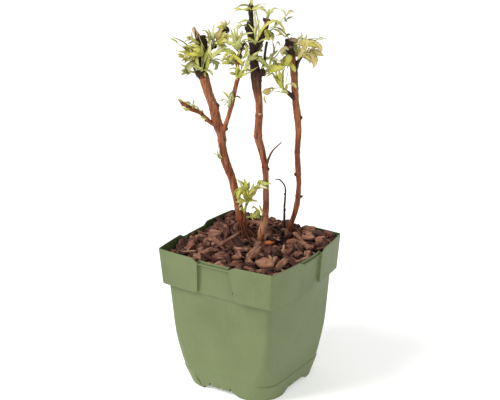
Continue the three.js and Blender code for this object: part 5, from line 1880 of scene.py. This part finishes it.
SPRAYS = [
    Spray("leaves_left_west", "cane_left", 343, 150, 10, LIME, 11, (
        Fan((124, 172), 4, 22, 10, 0.42, 8, 26, TREFOIL), Fan((132, 132), 1, 34, 9, 0.22, 6, 0, BLADE)),
        filled=False),
    Spray("leaves_left_low", "cane_left", 335, 180, 20, DEEP, 23, (
        Fan((150, 184), 3, 14, 9, 0.42, 14, 20),)),
    Spray("leaves_left_front", "cane_left", 335, 60, 62, FRESH, 37, (
        Fan((120, 160), 1, 13, 9, 0.42, 30, 8), Fan((76, 86), 2, 35, 24, 0.15, 12, 8, BLADE),
        Fan((-40, 10), 1, 9, 6, 0.42, 24, 10)),
        filled=False),
    Spray("leaves_left_right", "cane_left", 343, 20, 15, FRESH, 43, (
        Fan((24, 40), 2, 28, 18, 0.26, 10, 14, BLADE), Fan((-6, 12), 1, 15, 8, 0.42, 16, 12))),
    Spray("leaves_left_top", "cane_left", 366, 150, 20, LIME, 59, (
        Fan((136, 166), 2, 11, 7, 0.4, 12, 20),), line=1),
    Spray("leaves_left_back", "cane_left", 346, 90, -75, DEEP, 61, (
        Fan((30, 150), 6, 20, 11, 0.45, -40, 18),)),
    Spray("leaves_side_low", "branch_side", 362, 100, 35, PALE, 71, (
        Fan((75, 135), 4, 16, 9, 0.4, 14, 22), Fan((-25, 25), 3, 18, 11, 0.4, 10, 24))),
    Spray("leaves_side_top", "branch_side", 375, 60, 30, LIME, 83, (
        Fan((108, 170), 3, 11, 8, 0.45, 6, 22), Fan((-110, -60), 2, 12, 8, 0.5, 10, 22))),
    Spray("leaves_inner_low", "branch_inner", 330, 90, 50, LIME, 97, (
        Fan((65, 160), 3, 12, 8, 0.42, 24, 18), Fan((26, 70), 3, 22, 13, 0.26, 12, 16, BLADE))),
    Spray("leaves_inner_mid", "branch_inner", 347, 170, 20, LIME, 101, (
        Fan((140, 200), 2, 14, 9, 0.36, 10, 26), Fan((-55, 5), 1, 11, 8, 0.42, 30, 8))),
    Spray("leaves_inner_top", "branch_inner", 363, 120, 15, PALE, 113, (
        Fan((84, 152), 5, 18, 12, 0.3, 5, 26, BLADE), Fan((5, 60), 2, 12, 10, 0.26, 14, 18, BLADE))),
    Spray("leaves_inner_back", "branch_inner", 340, 110, -65, DEEP, 127, (
        Fan((60, 140), 4, 18, 10, 0.45, -42, 16),)),
    Spray("leaves_middle_fork", "cane_middle", 364, 80, 60, PALE, 131, (
        Fan((72, 100), 2, 30, 22, 0.1, 8, 8, BLADE), Fan((125, 165), 2, 15, 12, 0.18, 14, 10, BLADE))),
    Spray("leaves_middle_left", "cane_middle", 384, 175, 25, PALE, 137, (
        Fan((164, 188), 2, 12, 10, 0.22, 6, 24, BLADE),)),
    Spray("leaves_middle_cap", "cane_middle", 400, 180, 10, LIME, 149, (
        Fan((172, 188), 2, 15, 12, 0.17, 0, 34, BLADE),), filled=False),
    Spray("leaves_middle_tip", "cane_middle", 400, 8, 10, LIME, 151, (
        Fan((-4, 16), 2, 13, 11, 0.17, 0, 34, BLADE),)),
    Spray("leaves_middle_front", "cane_middle", 350, 100, 70, DEEP, 163, (
        Fan((-30, -12), 1, 15, 10, 0.34, 30, 6), Fan((12, 24), 1, 12, 9, 0.3, 34, 6),
        Fan((196, 214), 1, 12, 9, 0.36, 30, 6))),
    Spray("leaves_middle_back", "cane_middle", 350, 90, -75, DEEP, 167, (
        Fan((25, 155), 6, 22, 12, 0.42, -36, 18),)),
    Spray("leaves_fork_top", "fork_middle", 389, 80, 10, PALE, 173, (
        Fan((50, 120), 3, 11, 9, 0.25, 0, 30, BLADE),)),
    Spray("leaves_fork_side", "fork_middle", 378, 10, 15, DEEP, 181, (
        Fan((40, 40), 1, 21, 18, 0.14, 4, 0, BLADE, 2), Fan((34, 38), 1, 30, 8, 0.32, 0, 0, TREFOIL),
        Fan((-75, -30), 2, 10, 7, 0.5, 20, 14))),
    Spray("leaves_twig_thin", "twig_thin", 352, 0, 20, DEEP, 191, (
        Fan((50, 80), 2, 15, 11, 0.24, 8, 22, BLADE), Fan((-50, 10), 2, 11, 8, 0.36, 14, 20))),
    Spray("leaves_stub", "cane_middle", 338, 60, 45, FRESH, 193, (
        Fan((28, 84), 2, 12, 9, 0.3, 16, 12),), line=1),
    Spray("leaves_right_spur", "cane_right", 350, 45, 15, BRONZE, 199, (
        Fan((22, 34), 2, 21, 15, 0.4, -10, 16, OVAL, 0.7),
        Fan((-16, 4), 2, 15, 12, 0.4, -8, 16, OVAL, 0.8),
        Fan((75, 110), 2, 13, 11, 0.26, 10, 16, BLADE)), line=1),
    Spray("leaves_right_head", "cane_right", 363, 15, 10, PALE, 211, (
        Fan((6, 16), 1, 33, 12, 0.18, 0, 0, BLADE), Fan((40, 75), 2, 12, 8, 0.3, 10, 26))),
    Spray("leaves_right_inner", "cane_right", 350, 200, 40, LIME, 223, (
        Fan((160, 260), 3, 11, 8, 0.42, 26, 14),)),
    Spray("leaves_right_low", "cane_right", 315, 130, 20, FRESH, 227, (
        Fan((98, 124), 3, 25, 19, 0.15, 9, 5, BLADE), Fan((178, 190), 1, 21, 9, 0.5, 8, 10, OVAL, 0.7)),
        line=2, filled=False),
    Spray("leaves_right_bud", "cane_right", 318, 60, 70, LIME, 229, (
        Fan((60, 120), 1, 7, 5, 0.5, 24, 10),)),
    Spray("leaves_right_back", "cane_right", 345, 90, -75, DEEP, 233, (
        Fan((35, 150), 5, 20, 12, 0.45, -40, 18),)),
    Spray("leaves_shoot_top", "shoot_base", 194, 70, 30, LIME, 239, (
        Fan((44, 112), 4, 23, 14, 0.3, 6, 16, TREFOIL),
        Fan((135, 170), 2, 15, 10, 0.36, 12, 10, OVAL, 1)),
        filled=False),
    Spray("leaves_shoot_low", "shoot_base", 180, 10, 30, LIME, 241, (
        Fan((4, 30), 2, 13, 8, 0.5, 10, 16),)),
    Spray("leaves_twig_low", "twig_low", 298, 90, 30, LIME, 251, (
        Fan((60, 220), 3, 9, 6, 0.42, 8, 20),)),
    Spray("leaves_sprout", "branch_inner", 299, 110, 35, FRESH, 257, (
        Fan((50, 160), 3, 13, 8, 0.26, 6, 12, BLADE),)),
    Spray("leaves_tiny", "cane_left", 240, 140, 25, PALE, 263, (
        Fan((108, 146), 2, 10, 7, 0.24, 6, 10, BLADE),)),
]

lime, fresh, pale, deep, bronze = (partial(Laid, tone) for tone in Tone)
LAID_LEAVES = [
    # Left cane, outwards from its dark head.
    deep(1.5, "-50 -15 350, -59 -11 359, -67 -10 367, -74 -9 371, -80 -9 374", 50),
    deep(1.3, "-66 -10 367, -64 -9 369, -61.5 -9 371", 50),
    lime(3.4, "-48 -13 351, -54 -9 358, -61 -7 363, -68 -7 363.5", 55, 0.2),
    lime(4, "-45 -12 352, -50 -9 360, -57 -7 365, -63 -7 363", 70),
    lime(3.8, "-51 -13 350, -59 -9 355, -66 -8 357, -73 -8 358", 60, 0.15),
    lime(4.8, "-52 -13 349, -58 -8 355, -63 -6 355, -68 -6 351", 60, 0.2),
    lime(3.7, "-52 -13 347, -57 -8 351, -61 -6 350", 80, 0.1),
    deep(3.3, "-54 -14 346, -60 -10 346, -65 -9 341, -66 -9 335", 65),
    deep(3.7, "-53 -14 345, -58 -9 345, -62 -7 340, -60 -7 335"),
    fresh(3.4, "-54 -14 342, -60 -10 342, -66 -9 342, -71 -8 345", 35),
    deep(2.9, "-54 -14 347, -60 -11 349, -65 -10 347", 60),
    lime(6, "-48 -11 353, -55 -7 356, -63 -6 354", 72, 0.5, fold=0.25),
    lime(5.6, "-46 -11 355, -51 -7 359.5, -58 -6 361", 72, 0.4, fold=0.25),
    fresh(3.6, "-53.5 -9 353, -53.5 -7 348, -51.5 -6 342", 88, 0.4),
    pale(4.6, "-56 -7 345, -53 -6 341.5, -48 -6 341.5", 88, 0.2),
    pale(4, "-43.5 -12 338, -42 -9 349, -40.5 -8 360, -39.5 -8 371", 82, 0.4),
    pale(4.6, "-42 -12 345, -38 -8 353, -31 -7 358.5, -22 -8 364", 68, 0.2),
    fresh(3.7, "-42 -13 348, -35 -11 355, -27 -11 358, -19 -12 360", 60),
    fresh(3.6, "-45 -12 334, -43.5 -9 342, -42 -8 350, -42 -8 358", 85, 0.5),
    deep(3.8, "-41.5 -10 344.5, -37.5 -6.5 348, -33.5 -5.5 345.5, -34.5 -5.5 340.5, -37 -5.5 341", 60, 0),
    pale(2.8, "-43 -12 338, -40 -9 336.5, -37.5 -8 331.5", 78, 0.3),
    lime(2.6, "-46 -12 336, -46 -9 334, -45 -8 331"),
    lime(3.1, "-49 -15 364, -55 -12 367, -59 -11 371, -58 -11 378", 60),
    deep(2.8, "-51 -15 360, -56 -12 367, -63 -11 365", 60),
    lime(3.4, "-48 -13 353, -52 -10 358, -56 -9 362"),
    pale(0.9, "-51.5 -13 374.5, -50.5 -12 370, -47.5 -11 363.5, -44.5 -11 357", 70, 0),
    # Its side branch.
    deep(1.5, "-38 -15 363, -41 -12 371, -44 -11 378, -50 -11 378.5", 60, 0.3),
    pale(2.2, "-38 -16 366, -40 -15 374, -43 -15 381", 75),
    pale(3, "-36 -14 364, -37.5 -11 375, -35.5 -10 387", 82),
    bronze(5, "-33 -15 366, -32 -12 373, -29.5 -11 379, -26 -11 381", 78, 0.15),
    lime(5.3, "-34 -16 366, -29 -12 372, -24 -11 378", 78),
    lime(4.8, "-35 -16 363, -29 -12 366, -23 -12 370, -22 -12 378", 70),
    lime(5, "-33 -16 366, -26 -11 369, -19 -11 363", 70),
    deep(3.8, "-36 -15 362, -36 -11 366, -39 -10 372"),
    deep(3.8, "-39 -16 362, -37 -12 363, -34 -11 368"),
    fresh(3.4, "-38 -16 362, -41 -13 366, -42 -13 372"),
    pale(1.9, "-24 -20 381, -24 -18 385, -26 -17 389", 75),
    pale(1.7, "-23 -20 382, -21 -18 385, -20 -18 389", 75),
    # Inner branch.
    lime(6.6, "-12.5 -7 330, -12 -4 336, -12.5 -3 346", 88, 0.5),
    lime(4.4, "-11 -7 330, -9.5 -3 335, -9 -2 341", 86, 0.6),
    lime(4.2, "-18 -5 356, -12 -3 351, -5.5 -2 343.5", 80, 0.4),
    lime(3, "-12 -7 331, -8 -3 337, -4.5 -2 343.5", 84, 0.5),
    fresh(1.5, "-12 -8 338, -17 -6 341, -24 -5 339", 50),
    lime(3.1, "-14 -7 354, -20 -5 357, -25.5 -5 354, -28.5 -5 346", 75, 0.5),
    lime(3.6, "-13 -8 352, -17 -5 354, -19.5 -4 351, -19.5 -4 347", 78, 0.3),
    fresh(3.7, "-12 -8 349, -17 -6 357, -23 -6 359, -29 -7 358", 68),
    bronze(2.6, "-12 -8 352, -11.5 -5 356, -9 -4 360", 78, 0.2),
    fresh(3, "-8 -8 350, -5 -3 354, -3.5 -2 359, -4 -3 366", 75),
    pale(1.4, "-12 -6 331, -5 -1 335.5, 2 1 340, 9 1 345", 72, 0.1),
    pale(2.6, "-11 -8 360, -16 -7 370, -20 -7 384", 78),
    pale(3.3, "-9 -8 360, -14 -6 371, -16 -6 383", 80, 0.5),
    pale(3.6, "-9 -8 360, -13 -5 368, -12 -4 385", 80, 0.45),
    pale(3.3, "-8 -8 361, -11 -4 369, -7 -3 381", 80, 0.4),
    pale(3.3, "-10 -8 359, -15 -5 365, -19 -4 366", 70),
    pale(2.1, "-9 -7 373, -5 -4 376.5, 0 -3 377.5, 5 -3 378", 66, 0.5),
    lime(3.7, "-12 -9 357, -18 -7 366, -24 -7 369", 70),
    # Middle cane: a fan of straps from the fork, and pairs of straps round its tip.
    pale(1.8, "6 -5 368, 5.5 -3 380, 5 -4 394, 4 -5 403", 85, 0.6),
    pale(1.4, "7 -5 368, 9 -3 380, 8 -3 392, 6 -4 402"),
    pale(2, "6 -5 370, 5 -3 378, 2 -3 383, -2 -3 387.5", 80, 0.5),
    fresh(1.6, "7 -5 369, 9.5 -3 375, 13 -2 380"),
    fresh(2.6, "6 -5 366, 3 -2 370, -4 -2 375", 72),
    lime(2.9, "6 -5 367, 7 -2 372, 8 -1 377", 88),
    lime(3.5, "7 -5 367, 11 -1 380, 19 1 389, 27 1 390, 33 0 383, 36 -1 374", 58, 0.4),
    fresh(1.9, "7 -5 367, 13 -2 371, 22 0 373", 60),
    deep(2.2, "2 -8 401, -3 -6 405, -9 -5 405, -15 -5 402", 50, 0.45),
    fresh(2.3, "2 -8 401, 6 -6 404, 12 -6 407", 55, 0.4),
    lime(2.1, "1 -7 399, 0 -5 402, -4 -4 402, -9 -5 400", 58),
    lime(2.9, "1 -7 400, 6 -4 402, 12 -4 402, 17 -5 400", 58),
    pale(2.2, "1 -8 387, -3 -5 390, -8 -5 389, -12 -5 387", 55),
    pale(2.1, "1 -10 408, 2 -9 411, 2 -9 415"),
    lime(4.6, "15 -5 381, 17 -2 376, 18 -1 370.5", 88, 0),
    deep(3.4, "16 -5 381, 20 -3 378, 20 -2 371"),
    lime(2.5, "26 -2 375, 28 -1 376, 31 0 377, 35 -1 375", 60, stalk=0.3),
    lime(2.1, "18 -2 370, 21 0 373, 24 0 370", 70),
    pale(2.4, "18 -6 391, 17 -5 397, 14 -5 402", 75),
    pale(2.4, "18 -6 391, 20 -5 398, 24 -5 402, 29 -6 401", 62),
    pale(2.6, "18 -6 391, 18.5 -5 397, 19 -5 402", 85),
    pale(0.9, "20 -5 382, 28 -4 387, 35 -4 394, 37 -4 395", 60, stalk=0.9),
    fresh(2.6, "36 -4 394, 39 -3 399, 41 -3 400, 45 -3 398", 75),
    pale(2, "36 -4 394, 34 -4 399, 30 -4 401", 60),
    # Front of the middle cane.
    pale(2.6, "-1 -2 352, 3 1 355.5, 7 2 358.5, 11.5 1 361.5", 80, 0.2),
    fresh(3, "-1 -2 352, -2 1 357, -1 1 362"),
    deep(5.6, "-3 -1 352, 2 1 353.5, 8 2 354", 86, 0.6),
    deep(4.6, "0 -2 355, -2 0 350, -3 1 344, -4 0 337", 85, 0.85),
    deep(5.4, "1 -2 354, 8 1 353, 14 2 348.5, 19 2 343.5", 76, 0.5),
    fresh(2.8, "0 -2 353, -3.5 0 359, -4 0 366"),
    pale(2.2, "11 -3 341, 15 0 344, 20 1 342", 65),
    fresh(2.2, "18 -4 341, 20.5 -1 349, 20.5 -1 358"),
    deep(1.9, "21 -1 349, 24 1 361, 22 1 372", 75),
    deep(1.5, "23 0 355, 27 1 369, 31 0 365", 70, stalk=0.4),
    deep(1.4, "21 -1 350, 27 1 356, 32 0 364", 60),
    lime(2.2, "17 -4 340, 19 -1 337, 15 0 336", 70),
    # Right cane: broad bronze leaves over its spur, yellow ones inside.
    bronze(8.2, "45 -14 363.5, 53 -11 366, 62 -9 365.5, 69 -8 363, 73 -8 358.5", 76, 0.45),
    bronze(5.4, "58 -11 366, 55 -8 362, 51 -7 355, 47.5 -7 348.5", 84, 0.3),
    lime(3.6, "58 -9 365, 64 -7 364, 70 -7 360", 82, 0.3),
    bronze(8.4, "51 -12 351.5, 57 -9 353.5, 63 -8 351.5, 65.5 -8 346.5, 64 -8 340", 80, 0.45),
    bronze(4.4, "53 -12 351, 57 -8 351.5, 60 -7 349, 60.5 -7 344.5", 82, 0.2),
    deep(1.9, "53 -11 354, 58 -9 357.5, 62 -8 357.5, 65.5 -8 353", 60, 0.2),
    deep(4.4, "48.5 -14 350, 49.5 -12 357, 50 -11 364", 85, 0.4),
    deep(1.2, "48 -13 354, 46 -11 357, 43.5 -11 361", 75),
    pale(1, "60 -10 367, 66 -10 368.5, 70 -10 369.5, 77 -10 368", 50),
    pale(0.9, "69 -10 369, 70 -10 372, 70 -10 375.5", 60),
    deep(2.2, "41 -12 374.5, 38 -11 373.8, 35 -10 371.5", 60, 0),
    pale(1.5, "52 -11 366, 52 -10 372, 51 -10 379", 75),
    pale(1.4, "53 -11 367, 55 -10 371, 57 -10 372", 75),
    lime(7, "41 -13 353, 39.5 -9 351, 37 -8 346, 33.5 -7 342", 85, 0.45),
    lime(4.8, "39 -13 346, 42 -10 343, 44.5 -9 339, 46 -9 335.5", 85, 0.55),
    lime(3.1, "38 -13 348, 34 -9 347, 30 -8 343", 75),
    bronze(3.8, "40 -14 357, 35 -10 361, 32 -9 356, 34 -9 352", 75),
    bronze(3.8, "41 -12 322, 43 -10 323.5, 45.5 -9 322, 47 -9 318", 85, 0.4),
    lime(2.8, "1 -8 404, 1.5 -7 409, 2 -8 413", 85),
    # Young shoot at the foot, and its small leaves to the right.
    lime(2.8, "-5.5 -6 188, -3.5 -4 197, 1.5 -3 205, 6 -3 213", 86, 0.35, fold=0.1, belly=0.4),
    lime(5.2, "-3 -3.5 210.5, -8 -2 211.5, -11.5 -1.5 208, -12 -1.5 202", 80, 0.45),
    lime(1.3, "-8 -3 212, -13 -2.5 211.5, -17 -2.5 207, -18 -2.5 203", 70, 0.3),
    lime(5.8, "-4.5 -3.5 211, -2 -2 208.5, -0.3 -1.5 205, 0.5 -1.5 200.5", 84, 0.5),
    lime(3.2, "-3 -3.5 211.5, -4.5 -2.5 218, -6.8 -2.5 224.5", 80, 0.45),
    fresh(2, "-4 -3.5 215, -9 -2.5 220, -15 -2.5 223.3", 60, 0.3),
    lime(2.4, "-3 -3.5 212, -7 -2.5 214.5, -11 -2.5 217.3", 65, 0.4),
    lime(2.2, "-2.5 -3.5 213, -1.8 -2.5 216.5, -1.2 -2.5 220", 82, 0.3),
    pale(2.4, "0.5 -3.5 209, 2 -2.5 215, 3 -2.5 219.5", 80, 0.9),
    lime(4.6, "4 -3 211.5, 6.5 -2 215, 9.5 -2 217", 80, 0.3),
    deep(3.4, "6.5 -2.5 216.5, 9.5 -1.5 221, 13.5 -1.5 220.5, 18 -1.5 218.5", 70, 0.6),
    lime(3, "6.5 -2.5 213, 11.5 -1.5 215, 18 -1.5 213.3", 60, 0.5),
    lime(6.6, "8.5 -4 189.5, 6.5 -2 185.5, 4 -2 181", 84, 0.6),
    fresh(1.8, "0.5 -4 190.5, 4 -3 192.3, 8 -3 189.5", 60, 0.5),
    lime(1.7, "9 -4 195, 10.5 -3 190, 12.5 -3 185", 80, 0.4),
    # The tuft on its low spur.
    pale(4.2, "39 -9 313.5, 35 -6 316.5, 31 -5 317.5", 60),
    lime(4.4, "33.5 -6 318, 30.5 -5 326, 30 -4 334, 28.5 -4 342", 84, 0.55),
    fresh(3, "32.5 -6 319, 28.5 -5 326, 24.5 -4 333, 20.5 -4 339.5", 80, 0.5),
    fresh(2.4, "34 -7 319, 32.8 -6 327, 33 -5 335, 35.5 -5 342", 82, 0.3),
    lime(2.4, "32 -6 320, 28 -5 328.5, 26.5 -4 336, 26.5 -4 341", 80, 0.7),
    pale(1.1, "36.5 -7 320, 36.5 -6 328, 38.3 -6 336, 38.3 -6 342", 75),
    pale(1.8, "35 -7 320, 38 -6 323.5, 41.5 -6 325"),
    lime(2.6, "36.5 -8 318, 37 -6 321, 36 -5 323.5", 85),
    lime(7.5, "17.5 -3 338.5, 23 -1 341.5, 29 -1 343, 35 -2 343", 72, 0.45, fold=0.25),
    lime(4.4, "20 -4 337.5, 22.5 -3 342, 24 -3 349", 82, 0.5),
    pale(3.4, "21 -4 337, 18.5 -3 340, 17 -3 345", 82),
    lime(3.6, "24 -4 340, 27 -3 345, 31 -3 347", 80, 0.6),
    fresh(1.9, "23 -4 337, 19.5 -4 334.5, 16 -4 332", 75),
    bronze(7.2, "35 -9 314, 28 -6 316.5, 21.5 -5 317.3, 16.5 -4 317, 12 -4 316", 84, stalk=0.5),
    bronze(1.8, "15 -4 313.5, 14.3 -4 309.5, 15.5 -4 306, 17.5 -4 303.5", 80, 0.1),
    # Buds that open along the low twig.
    lime(2.1, "-44 -10 286, -47 -8 287.5, -51 -7 290", 85),
    lime(1.7, "-46 -10 288, -49 -8 290, -52 -7 287", 85),
    fresh(1.5, "-48 -9 292, -49 -7 296, -51 -7 296"),
    pale(1.6, "-51 -8 295, -54 -6 300, -58 -5 303"),
    pale(1.3, "-52 -8 294, -56 -5 299, -57 -4 305"),
    lime(2.2, "-60 -4 301, -64 -2 305, -67 -2 308", 85),
    lime(2, "-60 -3 300, -65 -1 300, -69 -1 302", 85),
    lime(1.8, "-62 -3 298, -66 -1 299, -70 -1 303"),
    fresh(0.9, "-65 -2 302, -69 -1 303, -73 0 303", 60),
    pale(2.2, "-68 -2 305, -70 0 309, -74 0 311", 85),
    # A sprout on the inner branch, and one on the left cane.
    pale(3, "-21 -10 298, -21.5 -8 305, -20 -8 313", 88),
    lime(2.4, "-21 -8 308, -24 -7 313, -29 -7 317"),
    fresh(1.8, "-21 -8 310, -20 -7 314, -18 -7 317"),
    deep(1.6, "-20 -9 302, -26 -8 308, -31 -8 306", 60, stalk=0.4),
    fresh(2.2, "-19 -9 303, -18 -8 309, -18 -8 316"),
    deep(1.8, "-17 -9 308, -13 -8 311, -9 -8 308", 60, stalk=0.2),
    pale(1.6, "-28 -12 243, -33 -10 248, -35 -10 255"),
    fresh(1.6, "-28 -12 242, -33 -10 245, -34 -10 250"),
    pale(1.2, "-28 -12 242, -32 -10 249, -32 -10 257"),
    # The young shoot at the foot.
    pale(4.6, "-4 -4 197, -1.5 -2 204, 0 -2 213", 62),
    lime(4.6, "-4 -4 198, -4 -1 206, -3 -1 212", 62),
    pale(3, "-3 -3 204, -7 -1 215, -15 -1 225", 58, stalk=0.2),
    lime(3.6, "-3 -3 205, -4 -1 215, -7 -1 226", 85, stalk=0.2),
    pale(3, "-3 -3 205, -7 -1 214, -11 -1 218", 58, stalk=0.2),
    fresh(3, "-2 -3 208, -2 -2 216, -1 -2 222", 58, stalk=0.2),
    lime(4.6, "-4 -4 200, -8 -1 214, -13 0 209, -13 0 197", 75, stalk=0.1),
    fresh(2, "-4 -4 202, -10 -1 214, -16 0 211, -19 0 203", 70, stalk=0.2),
    fresh(4.6, "-2 -3 200, 5 -1 213, 10 1 221, 15 2 220, 22 3 221", 74, stalk=0.3),
    pale(3, "2 -2 206, 7 1 216, 13 3 217, 18 4 215", 70, stalk=0.35),
    lime(3, "4 -1 210, 7 1 217, 10 2 223", 82, stalk=0.2),
    pale(2.8, "0 -3 206, 2 -2 213, 3.5 -2 221", 60),
    pale(3.4, "-7 -7 186, -10 -6 190, -12 -5 188", 82),
    lime(5.8, "9 1 181, 8 3 188, 4 4 187, 1 4 183", 85, stalk=0.15),
    pale(4.4, "8 2 182, 6 4 185, 5 4 182", 86),
    fresh(2, "8 2 183, 6 3 192, 1 3 198"),
    fresh(1.8, "12 2 184, 12 3 190, 9 3 198"),
]

LEAF_SKINS = {
    LIME: LeafSkin("leaf_lime", "bdb83e", "d5d05c", "e4de98", "8c8436"),
    FRESH: LeafSkin("leaf_fresh", "a4a63e", "c0bf58", "dcda94", "787a32"),
    PALE: LeafSkin("leaf_pale", "c4c56e", "dcda8e", "eeebc0", "a2a450"),
    DEEP: LeafSkin("leaf_deep", "858640", "a19f58", "c4c488", "524c2a"),
    BRONZE: LeafSkin("leaf_bronze", "cebe72", "dcc880", "e6d4a0", "9e8a50"),
}
DARK_LIMBS = ("branch_side", "twig_thin", "twig_dead", "stem_dead")


def write_size() -> None:
    """Bring the view layer up to date."""
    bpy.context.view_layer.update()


def main() -> None:
    """Build the plant piece by piece, then its stage."""
    logging.basicConfig(level=logging.INFO, format="%(message)s")
    pot = Pot()
    place(pot.build(), "pot", PotPlastic().material(), "pot_plastic", "pot_body")

    bed = Bed(pot)
    compost = bed.compost()
    mulch = BarkMulch().material()
    place(bed.flakes(compost, mulch), "bark_flakes", mulch, "bark_mulch", "bark_bed")
    place(compost, "compost", Compost().material(), "bark_mulch", "bark_bed")

    bark = CaneBark().material()
    limbs = {limb.name: limb for limb in LIMBS}
    for limb in LIMBS:
        slot = "dark_wood" if limb.name in DARK_LIMBS else "cane_bark"
        place(limb.build(), f"{limb.name}_bark", bark, slot, limb.name)

    foliage = Foliage(limbs, SPRAYS)
    foliage.grow()
    foliage.lay(LAID_LEAVES)
    for tone in Tone:
        skin = LEAF_SKINS[tone]
        mesh = foliage.leaves[tone].mesh(f"{skin.name}_leaves")
        place(mesh, f"{skin.name}_leaves", skin.material(), skin.name, *foliage.nodes[tone])
    place(foliage.stalks.mesh("leaf_stalks"), "leaf_stalks", StalkSkin().material(), "leaf_fresh")

    Studio().build()
    write_size()


if __name__ == "__main__":
    main()
